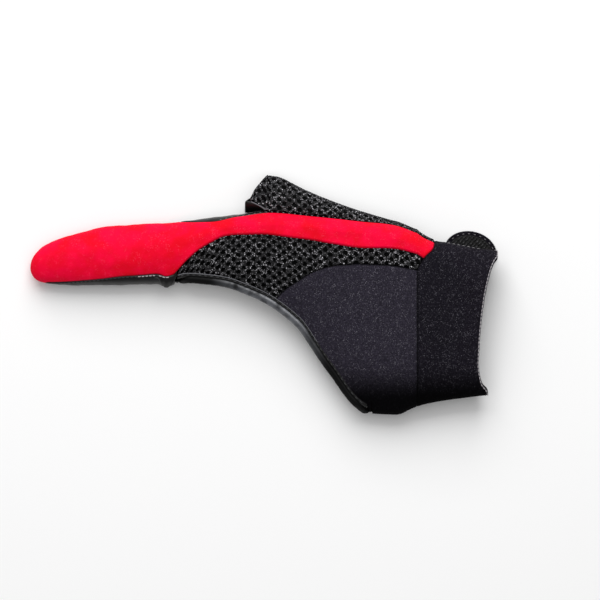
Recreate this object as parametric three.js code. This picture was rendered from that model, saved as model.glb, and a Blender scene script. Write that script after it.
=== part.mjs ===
// A left-hand surf-casting glove, lying palm down.
// One long sleeve covers the index finger and a short one the thumb. The other
// fingers leave through a wide opening on the little-finger side, whose rim is bound.
// Units are millimetres. +X runs from the fingertip to the wrist, +Y to the thumb side, +Z up.
//
// The glove is a hollow tube of sections. Each panel is a patch of that tube, thickened
// inwards by its own wall. A station is a place along the tube: 0 is the fingertip,
// 1 the web of the finger, 2 the cuff's seam and 3 the cuff's rear corner.
// A place across the tube is a share of its width seen from above: 0 is the little-finger
// side and 1 the thumb side, over the back, and 1 to 2 leads back along the palm.
import * as THREE from 'three';
import { mergeVertices } from 'three/addons/utils/BufferGeometryUtils.js';

// Driving dimensions
const FINGER_LENGTH = 71.8;
const HAND_LENGTH = 129.5;
const CUFF_LENGTH = 42;
const SWEEP = 124.3;
const FINGER = { width: 34, height: 18 };
const HAND = { width: 100, height: 28 };
const CUFF = { width: 82, height: 27 };
const THUMB_SPREAD = 19;
const THUMB_FLOOR_ROUND = 7;
const CROTCH_GAP = 0.45;
const CUFF_LIFT = 3.4;

const STRETCH_WALL = 1.8;
const MESH_WALL = 2;
const NEOPRENE_WALL = 2.2;
const LEATHER_WALL = 1.2;
const SEAM_GAP = 0.35;
const SIDE_SEAM_DROP = 3.5;
const FOLD_RADIUS = 5;

const BINDING_DIAMETER = 4.2;
const STRAP_WIDTH = 22;
const STRAP_LENGTH = 60;
const STRAP_THICKNESS = 2;
const STRAP_TILT = 0.23;
const TAB_WIDTH = 27.6;
const TAB_REACH = 8;
const TAB_SET_OUT = 0.25;
const SHOULDER = 5;
const HOOK_MARGIN = 2.2;
const HOOK_THICKNESS = 0.8;
const SLIT_WIDTH = 7;

const TOTAL_LENGTH = FINGER_LENGTH + HAND_LENGTH + CUFF_LENGTH;

// Sections of the hand's tube, from fingertip to cuff. crest is the ridge's place off the
// middle line, in shares of SWEEP. radial and ulnar are the reach to the thumb side and the
// little-finger side, in shares of the zone's width, and so are the roundings of the two
// lower edges. top, tip and the two side heights are shares of the height.
const TUBE = [
  { at: 0, zone: FINGER, crest: 0.113, radial: 0, ulnar: 0, top: 0.41, tip: 0.41,
    radialSide: 0.5, ulnarSide: 0.5, radialRound: 0, ulnarRound: 0 },
  { at: 0.043, zone: FINGER, crest: 0.125, radial: 0.19, ulnar: 0.222, top: 0.655, tip: 0.21,
    radialSide: 0.46, ulnarSide: 0.46, radialRound: 0.1, ulnarRound: 0.1 },
  { at: 0.116, zone: FINGER, crest: 0.14, radial: 0.26, ulnar: 0.33, top: 0.78, tip: 0.1,
    radialSide: 0.45, ulnarSide: 0.45, radialRound: 0.14, ulnarRound: 0.15 },
  { at: 0.217, zone: FINGER, crest: 0.151, radial: 0.315, ulnar: 0.393, top: 0.87, tip: 0.03,
    radialSide: 0.45, ulnarSide: 0.45, radialRound: 0.17, ulnarRound: 0.18 },
  { at: 0.362, zone: FINGER, crest: 0.161, radial: 0.365, ulnar: 0.44, top: 0.935, tip: 0,
    radialSide: 0.45, ulnarSide: 0.45, radialRound: 0.19, ulnarRound: 0.2 },
  { at: 0.58, zone: FINGER, crest: 0.1715, radial: 0.428, ulnar: 0.474, top: 0.99, tip: 0,
    radialSide: 0.45, ulnarSide: 0.45, radialRound: 0.2, ulnarRound: 0.22 },
  { at: 0.797, zone: FINGER, crest: 0.18, radial: 0.428, ulnar: 0.5, top: 1.02, tip: 0,
    radialSide: 0.45, ulnarSide: 0.44, radialRound: 0.2, ulnarRound: 0.22 },
  { at: 1, zone: FINGER, crest: 0.1925, radial: 0.4, ulnar: 0.51, top: 1.06, tip: 0,
    radialSide: 0.46, ulnarSide: 0.42, radialRound: 0.19, ulnarRound: 0.22 },
  { at: 1.129, zone: HAND, crest: 0.23, radial: 0.109, ulnar: 0.239, top: 0.72, tip: 0,
    radialSide: 0.47, ulnarSide: 0.4, radialRound: 0.06, ulnarRound: 0.08 },
  { at: 1.289, zone: HAND, crest: 0.2845, radial: 0.066, ulnar: 0.364, top: 0.8, tip: 0,
    radialSide: 0.5, ulnarSide: 0.34, radialRound: 0.035, ulnarRound: 0.09 },
  { at: 1.406, zone: HAND, crest: 0.2895, radial: 0.077, ulnar: 0.449, top: 0.86, tip: 0,
    radialSide: 0.52, ulnarSide: 0.3, radialRound: 0.02, ulnarRound: 0.1 },
  { at: 1.53, zone: HAND, crest: 0.28, radial: 0.078, ulnar: 0.577, top: 0.91, tip: 0,
    radialSide: 0.51, ulnarSide: 0.29, radialRound: 0.03, ulnarRound: 0.1 },
  { at: 1.659, zone: HAND, crest: 0.2657, radial: 0.084, ulnar: 0.783, top: 0.96, tip: 0,
    radialSide: 0.49, ulnarSide: 0.3, radialRound: 0.045, ulnarRound: 0.1 },
  { at: 1.787, zone: HAND, crest: 0.251, radial: 0.088, ulnar: 0.926, top: 1, tip: 0,
    radialSide: 0.46, ulnarSide: 0.33, radialRound: 0.06, ulnarRound: 0.1 },
  { at: 1.916, zone: HAND, crest: 0.228, radial: 0.096, ulnar: 0.905, top: 1, tip: 0,
    radialSide: 0.44, ulnarSide: 0.36, radialRound: 0.07, ulnarRound: 0.1 },
  { at: 2, zone: HAND, crest: 0.1967, radial: 0.094, ulnar: 0.827, top: 0.98, tip: 0,
    radialSide: 0.42, ulnarSide: 0.38, radialRound: 0.08, ulnarRound: 0.1 },
  { at: 2.21, zone: CUFF, crest: 0.138, radial: 0.14, ulnar: 0.891, top: 1, tip: 0,
    radialSide: 0.43, ulnarSide: 0.4, radialRound: 0.1, ulnarRound: 0.12 },
  { at: 2.409, zone: CUFF, crest: 0.084, radial: 0.203, ulnar: 0.793, top: 0.98, tip: 0,
    radialSide: 0.44, ulnarSide: 0.42, radialRound: 0.12, ulnarRound: 0.12 },
  { at: 2.657, zone: CUFF, crest: 0.046, radial: 0.238, ulnar: 0.717, top: 0.98, tip: 0,
    radialSide: 0.45, ulnarSide: 0.44, radialRound: 0.12, ulnarRound: 0.12 },
  { at: 3, zone: CUFF, crest: 0.021, radial: 0.247, ulnar: 0.659, top: 1.04, tip: 0,
    radialSide: 0.46, ulnarSide: 0.45, radialRound: 0.12, ulnarRound: 0.12 },
];

// Sections of the thumb's sleeve. spread is its reach past the hand's side and seam the
// way from the finger's strip to the mesh's edge, in shares of THUMB_SPREAD. top is a share
// of the strip's height there and round of THUMB_FLOOR_ROUND.
const THUMB = [
  { at: 1.305, spread: 1.2, seam: 0.44, top: 0.93, round: 0.7 },
  { at: 1.336, spread: 1.13, seam: 0.33, top: 0.95, round: 0.6 },
  { at: 1.379, spread: 1.03, seam: 0.14, top: 0.98, round: 0.4 },
  { at: 1.406, spread: 0.975, seam: 0, top: 1, round: 0.26 },
  { at: 1.434, spread: 0.955, seam: 0, top: 1, round: 0.26 },
  { at: 1.466, spread: 0.895, seam: 0, top: 1, round: 0.26 },
  { at: 1.53, spread: 0.705, seam: 0, top: 1, round: 0.26 },
  { at: 1.659, spread: 0.392, seam: 0, top: 1, round: 0.26 },
  { at: 1.787, spread: 0.164, seam: 0, top: 1, round: 0.26 },
  { at: 1.916, spread: 0.02, seam: 0, top: 1, round: 0.26 },
  { at: 2.3, spread: 0, seam: 0, top: 1, round: 0.26 },
];
const CROTCH = 1.406;
const THUMB_SEAM_LAP = 1.8;
const CROTCH_FOLD = 0.028;
const LEAST_SIDE = 0.25;
const LEATHER_FRONT = 0.043;
const LEATHER_START = 0.055;
const WEB = 1.02;
const MESH_MEETS_BACK = 1.43;
const BACK_START = 1.445;

// Seams along the tube: the place across, station by station.
const STRIP_ULNAR_EDGE = [
  { at: 0.043, across: -0.44 }, { at: 0.055, across: -0.34 }, { at: 0.075, across: -0.16 },
  { at: 0.097, across: -0.02 }, { at: 0.14, across: 0.02 }, { at: 0.24, across: 0.045 },
  { at: 0.385, across: 0.075 }, { at: 0.536, across: 0.1 }, { at: 0.71, across: 0.137 },
  { at: 0.884, across: 0.147 }, { at: 1, across: 0.15 }, { at: 1.02, across: 0.155 },
  { at: 1.045, across: 0.235 }, { at: 1.08, across: 0.385 }, { at: 1.129, across: 0.55 },
  { at: 1.177, across: 0.65 }, { at: 1.225, across: 0.725 }, { at: 1.289, across: 0.75 },
  { at: 1.434, across: 0.767 }, { at: 1.61, across: 0.8185 }, { at: 1.803, across: 0.8466 },
  { at: 2, across: 0.862 }, { at: 2.3, across: 0.862 },
];
const STRIP_RADIAL_EDGE = [
  { at: 0.043, across: 1.42 }, { at: 0.105, across: 1.22 }, { at: 0.217, across: 1.12 },
  { at: 0.362, across: 1.07 }, { at: 0.884, across: 1.04 }, { at: 1.048, across: 1 },
  { at: 1.129, across: 0.965 }, { at: 1.19, across: 0.95 }, { at: 1.273, across: 0.978 },
  { at: 1.406, across: 0.989 }, { at: 1.787, across: 0.984 }, { at: 2.3, across: 0.988 },
];
const BACK_PANEL_EDGE = [
  { at: 1.43, across: 0.155 }, { at: 1.445, across: 0.215 }, { at: 1.478, across: 0.328 },
  { at: 1.522, across: 0.446 }, { at: 1.578, across: 0.58 }, { at: 1.635, across: 0.668 },
  { at: 1.695, across: 0.72 }, { at: 1.779, across: 0.76 }, { at: 2.1, across: 0.774 },
];
const OPENING_BACK_EDGE = [
  { at: 1.03, across: 0.1 }, { at: 1.08, across: 0.13 }, { at: 1.129, across: 0.145 },
  { at: 1.289, across: 0.157 }, { at: 1.434, across: 0.15 }, { at: 1.53, across: 0.15 },
  { at: 1.594, across: 0.122 }, { at: 1.659, across: 0.098 }, { at: 1.723, across: 0.07 },
  { at: 1.8, across: 0.035 }, { at: 1.836, across: -0.05 }, { at: 1.865, across: -0.085 },
  { at: 2.1, across: -0.085 },
];
const PALM_ULNAR_EDGE = [
  { at: 1.02, across: 0.155 }, { at: 1.035, across: -0.04 }, { at: 1.058, across: -0.2 },
  { at: 1.129, across: -0.25 }, { at: 1.289, across: -0.24 }, { at: 1.434, across: -0.22 },
  { at: 1.594, across: -0.16 }, { at: 1.723, across: -0.12 }, { at: 1.82, across: -0.1 },
  { at: 1.865, across: -0.085 }, { at: 2.1, across: -0.085 },
];
const THENAR_SEAM = [
  { at: 1.406, across: 1.036 }, { at: 1.53, across: 1.09 },
  { at: 1.691, across: 1.13 }, { at: 1.851, across: 1.145 }, { at: 2.3, across: 1.15 },
];

// Seams across the tube: the station, by the place across.
const CUFF_SEAM = [
  { at: -0.1, station: 2 }, { at: 0.77, station: 2 }, { at: 0.8, station: 2.02 },
  { at: 0.865, station: 2.087 }, { at: 0.965, station: 2.21 }, { at: 1.02, station: 2.22 },
  { at: 1.12, station: 2.14 }, { at: 1.3, station: 2.02 }, { at: 1.5, station: 2 },
  { at: 1.9, station: 2 },
];
const CUFF_RIM = [
  { at: 0, station: 2.88 }, { at: 0.026, station: 2.863 }, { at: 0.075, station: 2.8 },
  { at: 0.136, station: 2.771 }, { at: 0.208, station: 2.755 }, { at: 0.34, station: 2.763 },
  { at: 0.47, station: 2.78 }, { at: 0.65, station: 2.82 }, { at: 0.81, station: 2.879 },
  { at: 0.888, station: 2.92 }, { at: 0.93, station: 2.953 }, { at: 0.97, station: 2.995 },
  { at: 1, station: 3 },
];
const PALM_RIM_SETBACK = 0.03;
const THUMB_RIM = [
  { at: 0, station: 1.309 }, { at: 0.25, station: 1.309 }, { at: 0.35, station: 1.33 },
  { at: 0.54, station: 1.346 }, { at: 0.8, station: 1.375 }, { at: 1, station: 1.397 },
];

// The leather's pucker at the web, where it bunches under the finger.
const WEB_PUCKER = { at: 0.991, reach: 0.045, depth: 2.6 };

const QUARTER = 0.5523;
const ARC_STEPS = 20;
const FLOOR_STEPS = 12;
const TURN_PER_LENGTH = 9;
const LINE_TRIES = 4;

// Slopes of a curve through the rows that never overshoots them.
function slopes(x, y) {
  const step = x.slice(1).map((value, i) => (y[i + 1] - y[i]) / (value - x[i]));
  return x.map((_, i) => {
    if (i === 0) return step[0];
    if (i === x.length - 1) return step[i - 1];
    const [before, after] = [step[i - 1], step[i]];
    return before * after <= 0 ? 0 : (2 * before * after) / (before + after);
  });
}

const curves = new Map();

// A column of a table at any place between its rows. ease bends the table's own scale.
function along(rows, read, at, ease = Math.sqrt) {
  const key = read.toString();
  if (!curves.has(rows)) curves.set(rows, new Map());
  const known = curves.get(rows);
  if (!known.has(key)) {
    const x = rows.map((row) => ease(row.at));
    const y = rows.map(read);
    known.set(key, { x, y, slope: slopes(x, y) });
  }
  const { x, y, slope } = known.get(key);
  const q = THREE.MathUtils.clamp(ease(at), x[0], x[x.length - 1]);
  let i = 0;
  while (i < x.length - 2 && q > x[i + 1]) i += 1;
  const h = x[i + 1] - x[i];
  const t = (q - x[i]) / h;
  return (
    (2 * t ** 3 - 3 * t ** 2 + 1) * y[i] +
    (t ** 3 - 2 * t ** 2 + t) * h * slope[i] +
    (3 * t ** 2 - 2 * t ** 3) * y[i + 1] +
    (t ** 3 - t ** 2) * h * slope[i + 1]
  );
}

const same = (value) => value;
const across = (rows) => (station) => along(rows, (row) => row.across, station);
const station = (rows) => (place) => along(rows, (row) => row.station, place, same);
const clamp01 = (value) => THREE.MathUtils.clamp(value, 0, 1);

function lengthwise(at) {
  return (
    -TOTAL_LENGTH / 2 +
    FINGER_LENGTH * clamp01(at) +
    HAND_LENGTH * clamp01(at - 1) +
    CUFF_LENGTH * clamp01(at - 2)
  );
}

function bezier(points, p0, p1, p2, p3, steps) {
  for (let i = 1; i <= steps; i += 1) {
    const t = i / steps;
    const k = [(1 - t) ** 3, 3 * t * (1 - t) ** 2, 3 * t * t * (1 - t), t ** 3];
    const blend = (n) => k[0] * p0[n] + k[1] * p1[n] + k[2] * p2[n] + k[3] * p3[n];
    points.push([blend(0), blend(1)]);
  }
}

// Share of a side's height that its upright handle takes, long enough to keep the fold round.
function sideHandle(reach, rise) {
  const radius = Math.min(FOLD_RADIUS, 0.3 * reach);
  const needed = Math.sqrt((radius * (1 - QUARTER) * reach) / 1.5) / Math.max(rise, 1e-6);
  return THREE.MathUtils.clamp(needed, QUARTER, 0.92);
}

// Adds the arc-length and an even-looking measure of it to a section's line of points.
function measured(points, closed) {
  const length = [0];
  const measure = [0];
  const heading = (i) =>
    Math.atan2(points[i + 1][1] - points[i][1], points[i + 1][0] - points[i][0]);
  for (let i = 1; i < points.length; i += 1) {
    const step = Math.hypot(points[i][0] - points[i - 1][0], points[i][1] - points[i - 1][1]);
    let turn = 0;
    if (i < points.length - 1) {
      turn = Math.abs(heading(i) - heading(i - 1));
      turn = Math.min(turn, 2 * Math.PI - turn);
    }
    length.push(length[i - 1] + step);
    measure.push(measure[i - 1] + step + (TURN_PER_LENGTH * turn) / 2);
  }
  return {
    points, length, measure, closed,
    y: points.map((p) => p[0]),
    z: points.map((p) => p[1]),
  };
}

function lookup(from, to, value) {
  let low = 0;
  let high = from.length - 1;
  while (high - low > 1) {
    const middle = (low + high) >> 1;
    if (from[middle] <= value) low = middle;
    else high = middle;
  }
  const span = from[high] - from[low];
  return THREE.MathUtils.lerp(to[low], to[high], span > 0 ? (value - from[low]) / span : 0);
}

// Looks a value up in a section, going round it when it is closed.
function looked(section, from, to, value) {
  const [whole, result] = [from[from.length - 1], to[to.length - 1]];
  if (!section.closed) return lookup(from, to, THREE.MathUtils.clamp(value, from[0], whole));
  const turns = Math.floor(value / whole);
  return lookup(from, to, value - turns * whole) + turns * result;
}

function edges(at) {
  const crest = SWEEP * along(TUBE, (row) => row.crest, at);
  const pucker = WEB_PUCKER.depth * Math.exp(-(((at - WEB_PUCKER.at) / WEB_PUCKER.reach) ** 2));
  const radial = crest + along(TUBE, (row) => row.radial * row.zone.width, at);
  const ulnar = crest - along(TUBE, (row) => row.ulnar * row.zone.width, at) - pucker;
  const lift = CUFF_LIFT * THREE.MathUtils.smoothstep(at, 1.93, 2.08);
  const floor = lift + along(TUBE, (row) => row.tip * row.zone.height, at);
  const top = along(TUBE, (row) => row.top * row.zone.height, at);
  const rise = top - floor;
  return {
    crest, radial, ulnar, floor, top,
    radialSide: floor + rise * along(TUBE, (row) => row.radialSide, at),
    ulnarSide: floor + rise * along(TUBE, (row) => row.ulnarSide, at),
    radialRound: along(TUBE, (row) => row.radialRound * row.zone.width, at),
    ulnarRound: along(TUBE, (row) => row.ulnarRound * row.zone.width, at),
  };
}

const tubeSections = new Map();

// The hand's section: a closed line from the little-finger side over the crest to the
// thumb side, and back along the floor.
function tube(at) {
  const place = THREE.MathUtils.clamp(at, 1e-5, 3);
  const key = Math.round(place * 1e6);
  if (tubeSections.has(key)) return tubeSections.get(key);
  const e = edges(place);
  const crest = [e.crest, e.top];
  const ulnar = [e.ulnar, e.ulnarSide];
  const radial = [e.radial, e.radialSide];
  const reach = [e.crest - e.ulnar, e.radial - e.crest];
  const rise = [e.top - e.ulnarSide, e.top - e.radialSide];
  const points = [ulnar];
  bezier(
    points, ulnar, [e.ulnar, e.ulnarSide + sideHandle(reach[0], rise[0]) * rise[0]],
    [e.crest - QUARTER * reach[0], e.top], crest, ARC_STEPS * 2,
  );
  bezier(
    points, crest, [e.crest + QUARTER * reach[1], e.top],
    [e.radial, e.radialSide + sideHandle(reach[1], rise[1]) * rise[1]], radial, ARC_STEPS,
  );
  const radialMark = points.length - 1;
  const radialFloor = [e.radial - e.radialRound, e.floor];
  const keep = 1 - QUARTER;
  bezier(
    points, radial, [e.radial, e.radialSide - QUARTER * (e.radialSide - e.floor)],
    [e.radial - e.radialRound * keep, e.floor], radialFloor, ARC_STEPS,
  );
  const floorMark = points.length - 1;
  const ulnarFloor = [e.ulnar + e.ulnarRound, e.floor];
  for (let i = 1; i <= FLOOR_STEPS; i += 1) {
    points.push([THREE.MathUtils.lerp(radialFloor[0], ulnarFloor[0], i / FLOOR_STEPS), e.floor]);
  }
  bezier(
    points, ulnarFloor, [e.ulnar + e.ulnarRound * keep, e.floor],
    [e.ulnar, e.ulnarSide - QUARTER * (e.ulnarSide - e.floor)], ulnar, ARC_STEPS,
  );
  const section = measured(points, true);
  const width = Math.max(e.radial - e.ulnar, 1e-9);
  section.plan = points.map(([y], i) => {
    const share = (y - e.ulnar) / width;
    return i <= radialMark ? share : 2 - share;
  });
  section.plan[0] = 0;
  section.plan[radialMark] = 1;
  section.plan[points.length - 1] = 2;
  section.edges = e;
  section.floorMark = section.length[floorMark];
  section.sideMark = section.length[radialMark];
  tubeSections.set(key, section);
  return section;
}

// Arc-length round the hand's section of a place across it.
const placed = (section, place) => looked(section, section.plan, section.length, place);

function pointOn(section, length) {
  const whole = section.length[section.length.length - 1];
  const l = section.closed
    ? THREE.MathUtils.euclideanModulo(length, whole)
    : THREE.MathUtils.clamp(length, 0, whole);
  return [lookup(section.length, section.y, l), lookup(section.length, section.z, l)];
}

const thumbSections = new Map();

// The thumb's section. Up to the crotch it is a closed line of its own; past it, an open
// one from the finger's strip, round the outside and along the floor to the palm's seam.
function thumb(at) {
  const place = THREE.MathUtils.clamp(at, THUMB[0].at, THUMB[THUMB.length - 1].at);
  const key = Math.round(place * 1e6);
  if (thumbSections.has(key)) return thumbSections.get(key);
  const section = tube(place);
  const e = section.edges;
  const edge = placed(section, across(STRIP_RADIAL_EDGE)(place));
  const start = pointOn(section, edge);
  const before = pointOn(section, edge - 0.5);
  const spread = along(THUMB, (row) => row.spread, place) * THUMB_SPREAD;
  const seam = along(THUMB, (row) => row.seam, place) * THUMB_SPREAD;
  const height = start[1] * along(THUMB, (row) => row.top, place);
  const alone = place < CROTCH;
  const outer = e.radial + spread;
  const blend = THREE.MathUtils.smoothstep(spread / THUMB_SPREAD, 0, 0.5);
  const side = THREE.MathUtils.lerp(e.radialSide, 0.43 * height, blend);
  const inner = [e.radial + CROTCH_GAP, side];
  const crest = alone ? [Math.max(start[0] + seam, inner[0] + 0.6), height] : start;
  const reach = outer - crest[0];
  const rise = crest[1] - side;
  const slope = Math.atan2(start[1] - before[1], start[0] - before[0]) * (1 - blend);
  const handle = QUARTER * Math.hypot(reach, rise * (1 - blend));
  const points = [];
  if (alone) {
    points.push(inner);
    bezier(
      points, inner, [inner[0], side + QUARTER * rise],
      [crest[0] + QUARTER * (inner[0] - crest[0]), crest[1]], crest, ARC_STEPS,
    );
  } else points.push(crest);
  const crestMark = points.length - 1;
  bezier(
    points, crest, [crest[0] + handle * Math.cos(slope), crest[1] + handle * Math.sin(slope)],
    [outer, side + sideHandle(reach, rise) * rise], [outer, side], ARC_STEPS,
  );
  const sideMark = points.length - 1;
  const round = THREE.MathUtils.lerp(e.radialRound, THUMB_FLOOR_ROUND, blend);
  const floor = [outer - round, e.floor];
  const drop = side - e.floor;
  bezier(
    points, [outer, side], [outer, side - QUARTER * drop],
    [outer - round * (1 - QUARTER), e.floor], floor, ARC_STEPS,
  );
  const innerRound = along(THUMB, (row) => row.round, place) * THUMB_FLOOR_ROUND;
  const width = e.radial - e.ulnar;
  const palm = e.radial - (across(THENAR_SEAM)(place) - 1) * width;
  const end = alone ? inner[0] + innerRound : palm;
  for (let i = 1; i <= FLOOR_STEPS; i += 1) {
    points.push([THREE.MathUtils.lerp(floor[0], end, i / FLOOR_STEPS), e.floor]);
  }
  const floorMark = points.length - 1;
  if (alone) {
    bezier(
      points, [end, e.floor], [inner[0] + innerRound * (1 - QUARTER), e.floor],
      [inner[0], side - QUARTER * drop], inner, ARC_STEPS,
    );
  }
  const made = measured(points, alone);
  const origin = alone ? inner[0] : e.ulnar;
  made.plan = points.map(([y], i) => {
    const share = (y - origin) / (outer - origin);
    return i <= sideMark ? share : 2 - share;
  });
  made.crestMark = made.length[crestMark];
  made.sideMark = made.length[sideMark];
  made.floorMark = made.length[floorMark];
  made.whole = made.length[points.length - 1];
  thumbSections.set(key, made);
  return made;
}

// How far along a section an edge draws back, to keep its share of the seam's gap square
// to the edge: more where the edge runs askew.
function drawnBack(surface, edge, at) {
  const step = 0.004;
  const point = (place, shift) => {
    const section = surface(place);
    const [y, z] = pointOn(section, edge(section, place) + shift);
    return new THREE.Vector3(lengthwise(place), y, z);
  };
  const run = point(at + step, 0).sub(point(at - step, 0)).normalize();
  const over = point(at, 0.3).sub(point(at, -0.3)).normalize();
  return SEAM_GAP / 2 / Math.max(run.cross(over).length(), 0.25);
}

// A patch of a tube. bands are runs of stations, each from one line to the next, as
// functions of the place across. from and to give arc-lengths on a section.
function patch({ surface, bands, columns, from, to, gapFrom = true, gapTo = true }) {
  const known = new Map();
  const limits = (at) => {
    if (!known.has(at)) {
      const section = surface(at);
      const low = from(section, at) + (gapFrom ? drawnBack(surface, from, at) : 0);
      const high = to(section, at) - (gapTo ? drawnBack(surface, to, at) : 0);
      known.set(at, [low, high].map((l) => looked(section, section.length, section.measure, l)));
    }
    return known.get(at);
  };
  const arc = (at, v) => {
    const section = surface(at);
    const m = THREE.MathUtils.lerp(...limits(at), v);
    return looked(section, section.measure, section.length, m);
  };
  const place = (stationAt, v) => {
    let at = stationAt(0.5);
    for (let i = 0; i < LINE_TRIES; i += 1) {
      const section = surface(at);
      at = stationAt(looked(section, section.length, section.plan, arc(at, v)));
    }
    const [y, z] = pointOn(surface(at), arc(at, v));
    return new THREE.Vector3(lengthwise(at), y, z);
  };
  const rows = bands.flatMap((band, n) => {
    const ease = band.ease ?? same;
    const first = n === 0 ? band.skip ?? 0 : 1;
    return Array.from({ length: band.rows + 1 - first }, (_, i) => {
      const u = (i + first) / band.rows;
      const shift = (du) => (place) =>
        THREE.MathUtils.lerp(band.from(place), band.to(place), ease(u) + du);
      return shift;
    });
  });
  const step = 0.02;
  const vertices = [];
  const normals = [];
  rows.forEach((row) => {
    for (let j = 0; j <= columns; j += 1) {
      const v = j / columns;
      const here = place(row(0), v);
      const one = place(row(step), v).sub(place(row(-step), v));
      const other = place(row(0), v + step).sub(place(row(0), v - step));
      const normal = one.cross(other);
      vertices.push(here);
      normals.push(normal.length() > 1e-9 ? normal.normalize() : new THREE.Vector3(-1, 0, 0));
    }
  });
  const faces = [];
  const wide = columns + 1;
  for (let i = 0; i < rows.length - 1; i += 1) {
    for (let j = 0; j < columns; j += 1) {
      const [a, b, c, d] = [i * wide + j, (i + 1) * wide + j, (i + 1) * wide + j + 1, i * wide + j + 1];
      faces.push([a, b, c], [a, c, d]);
    }
  }
  return { vertices, normals, faces };
}

// Joins patches where their vertices meet and gives them a wall inwards.
function thicken(patches, wall) {
  const outer = [];
  const direction = [];
  const known = new Map();
  const faces = [];
  patches.forEach((one) => {
    const index = one.vertices.map((p, i) => {
      const key = [p.x, p.y, p.z].map((value) => Math.round(value * 2e3)).join();
      if (!known.has(key)) {
        known.set(key, outer.length);
        outer.push(p);
        direction.push(new THREE.Vector3());
      }
      direction[known.get(key)].add(one.normals[i]);
      return known.get(key);
    });
    one.faces.forEach((face) => {
      const [a, b, c] = face.map((i) => index[i]);
      if (a !== b && b !== c && c !== a) faces.push([a, b, c]);
    });
  });
  const count = outer.length;
  const inner = outer.map((p, i) => p.clone().addScaledVector(direction[i].normalize(), -wall));
  const used = new Set(faces.flatMap(([a, b, c]) => [`${a},${b}`, `${b},${c}`, `${c},${a}`]));
  const triangles = faces.flatMap(([a, b, c]) => [[a, b, c], [a + count, c + count, b + count]]);
  faces.forEach(([a, b, c]) => {
    [[a, b], [b, c], [c, a]].forEach(([p, q]) => {
      if (!used.has(`${q},${p}`)) triangles.push([q, p, p + count], [q, p + count, q + count]);
    });
  });
  const geometry = new THREE.BufferGeometry();
  const all = [...outer, ...inner].flatMap((p) => p.toArray());
  geometry.setAttribute('position', new THREE.Float32BufferAttribute(all, 3));
  geometry.setIndex(triangles.flat());
  return geometry;
}

const on = (rows) => (section, at) => placed(section, across(rows)(at));
const fixed = (value) => () => value;
// Any place across the tube, brought into one turn from a little past the little-finger side.
const oneTurn = (place) => {
  const turned = THREE.MathUtils.euclideanModulo(place, 2);
  return turned > 1.9 ? turned - 2 : turned;
};
const seam = (place) => station(CUFF_SEAM)(oneTurn(place));
const seamFront = (place) => seam(place) - SEAM_GAP / 2 / CUFF_LENGTH;
const seamRear = (place) => seam(place) + SEAM_GAP / 2 / CUFF_LENGTH;

// Neighbouring panels share their rows, so that their facets run alike along the seam.
const FINGER_BANDS = [
  { from: fixed(LEATHER_START), to: fixed(1), rows: 12, ease: (u) => u ** 1.4 },
  { from: fixed(1), to: fixed(WEB), rows: 1 },
];
const WEB_BAND = { from: fixed(WEB), to: fixed(CROTCH), rows: 9, ease: (u) => u ** 1.5 };
const KNUCKLE_BANDS = [
  { from: fixed(CROTCH), to: fixed(MESH_MEETS_BACK), rows: 1 },
  { from: fixed(MESH_MEETS_BACK), to: seamFront, rows: 9 },
];

function strip() {
  const edge = (rows, whole) => (section, at) =>
    placed(section, at <= LEATHER_FRONT + 1e-6 ? whole : across(rows)(at));
  const cap = { from: fixed(0), to: fixed(LEATHER_FRONT), rows: 3, ease: (u) => u * u };
  const lip = { from: fixed(LEATHER_FRONT), to: fixed(LEATHER_START), rows: 1 };
  const sides = { from: edge(STRIP_ULNAR_EDGE, -0.5), to: edge(STRIP_RADIAL_EDGE, 1.5) };
  const cover = patch({
    surface: tube, bands: [cap], columns: 12, ...sides, gapFrom: false, gapTo: false,
  });
  const bands = [lip, ...FINGER_BANDS, WEB_BAND, ...KNUCKLE_BANDS];
  const open = patch({ surface: tube, bands, columns: 12, ...sides });
  const closing = cover.vertices.slice(-13);
  closing.forEach((p, j) => {
    open.vertices[j] = p.clone();
    open.normals[j] = cover.normals[cover.normals.length - 13 + j].clone();
  });
  return thicken([cover, open], STRETCH_WALL);
}

function handMesh() {
  const low = (section, at) =>
    placed(section, across(at < MESH_MEETS_BACK ? OPENING_BACK_EDGE : BACK_PANEL_EDGE)(at));
  const bands = [{ ...WEB_BAND, skip: 1 }, ...KNUCKLE_BANDS];
  const to = on(STRIP_ULNAR_EDGE);
  return thicken([patch({ surface: tube, bands, columns: 6, from: low, to })], MESH_WALL);
}

function backPanel() {
  const bands = [{ from: fixed(BACK_START), to: seamFront, rows: 14 }];
  const [from, to] = [on(OPENING_BACK_EDGE), on(BACK_PANEL_EDGE)];
  return thicken([patch({ surface: tube, bands, columns: 10, from, to })], NEOPRENE_WALL);
}

function palm() {
  const ulnar = (section, at) => {
    const rows = at <= WEB ? STRIP_ULNAR_EDGE : PALM_ULNAR_EDGE;
    return placed(section, across(rows)(at) + 2);
  };
  const radial = (section, at) => {
    if (at > CROTCH + 1e-6) return placed(section, across(THENAR_SEAM)(at));
    const edge = placed(section, across(STRIP_RADIAL_EDGE)(at));
    return Math.max(section.floorMark, THREE.MathUtils.lerp(edge, ulnar(section, at), LEAST_SIDE));
  };
  const heel = { from: fixed(CROTCH), to: seamFront, rows: 12 };
  const main = patch({
    surface: tube, bands: [...FINGER_BANDS, WEB_BAND, heel], columns: 8,
    from: radial, to: ulnar, gapFrom: false,
  });
  const side = patch({
    surface: tube, bands: [...FINGER_BANDS, WEB_BAND], columns: 4,
    from: on(STRIP_RADIAL_EDGE), to: radial, gapTo: false,
  });
  return thicken([main, side], LEATHER_WALL);
}

const thumbSeam = (section) => section.sideMark + SIDE_SEAM_DROP;
const rim = (place) => {
  const turned = THREE.MathUtils.euclideanModulo(place, 2);
  return station(THUMB_RIM)(turned > 1 ? 2 - turned : turned);
};

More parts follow.
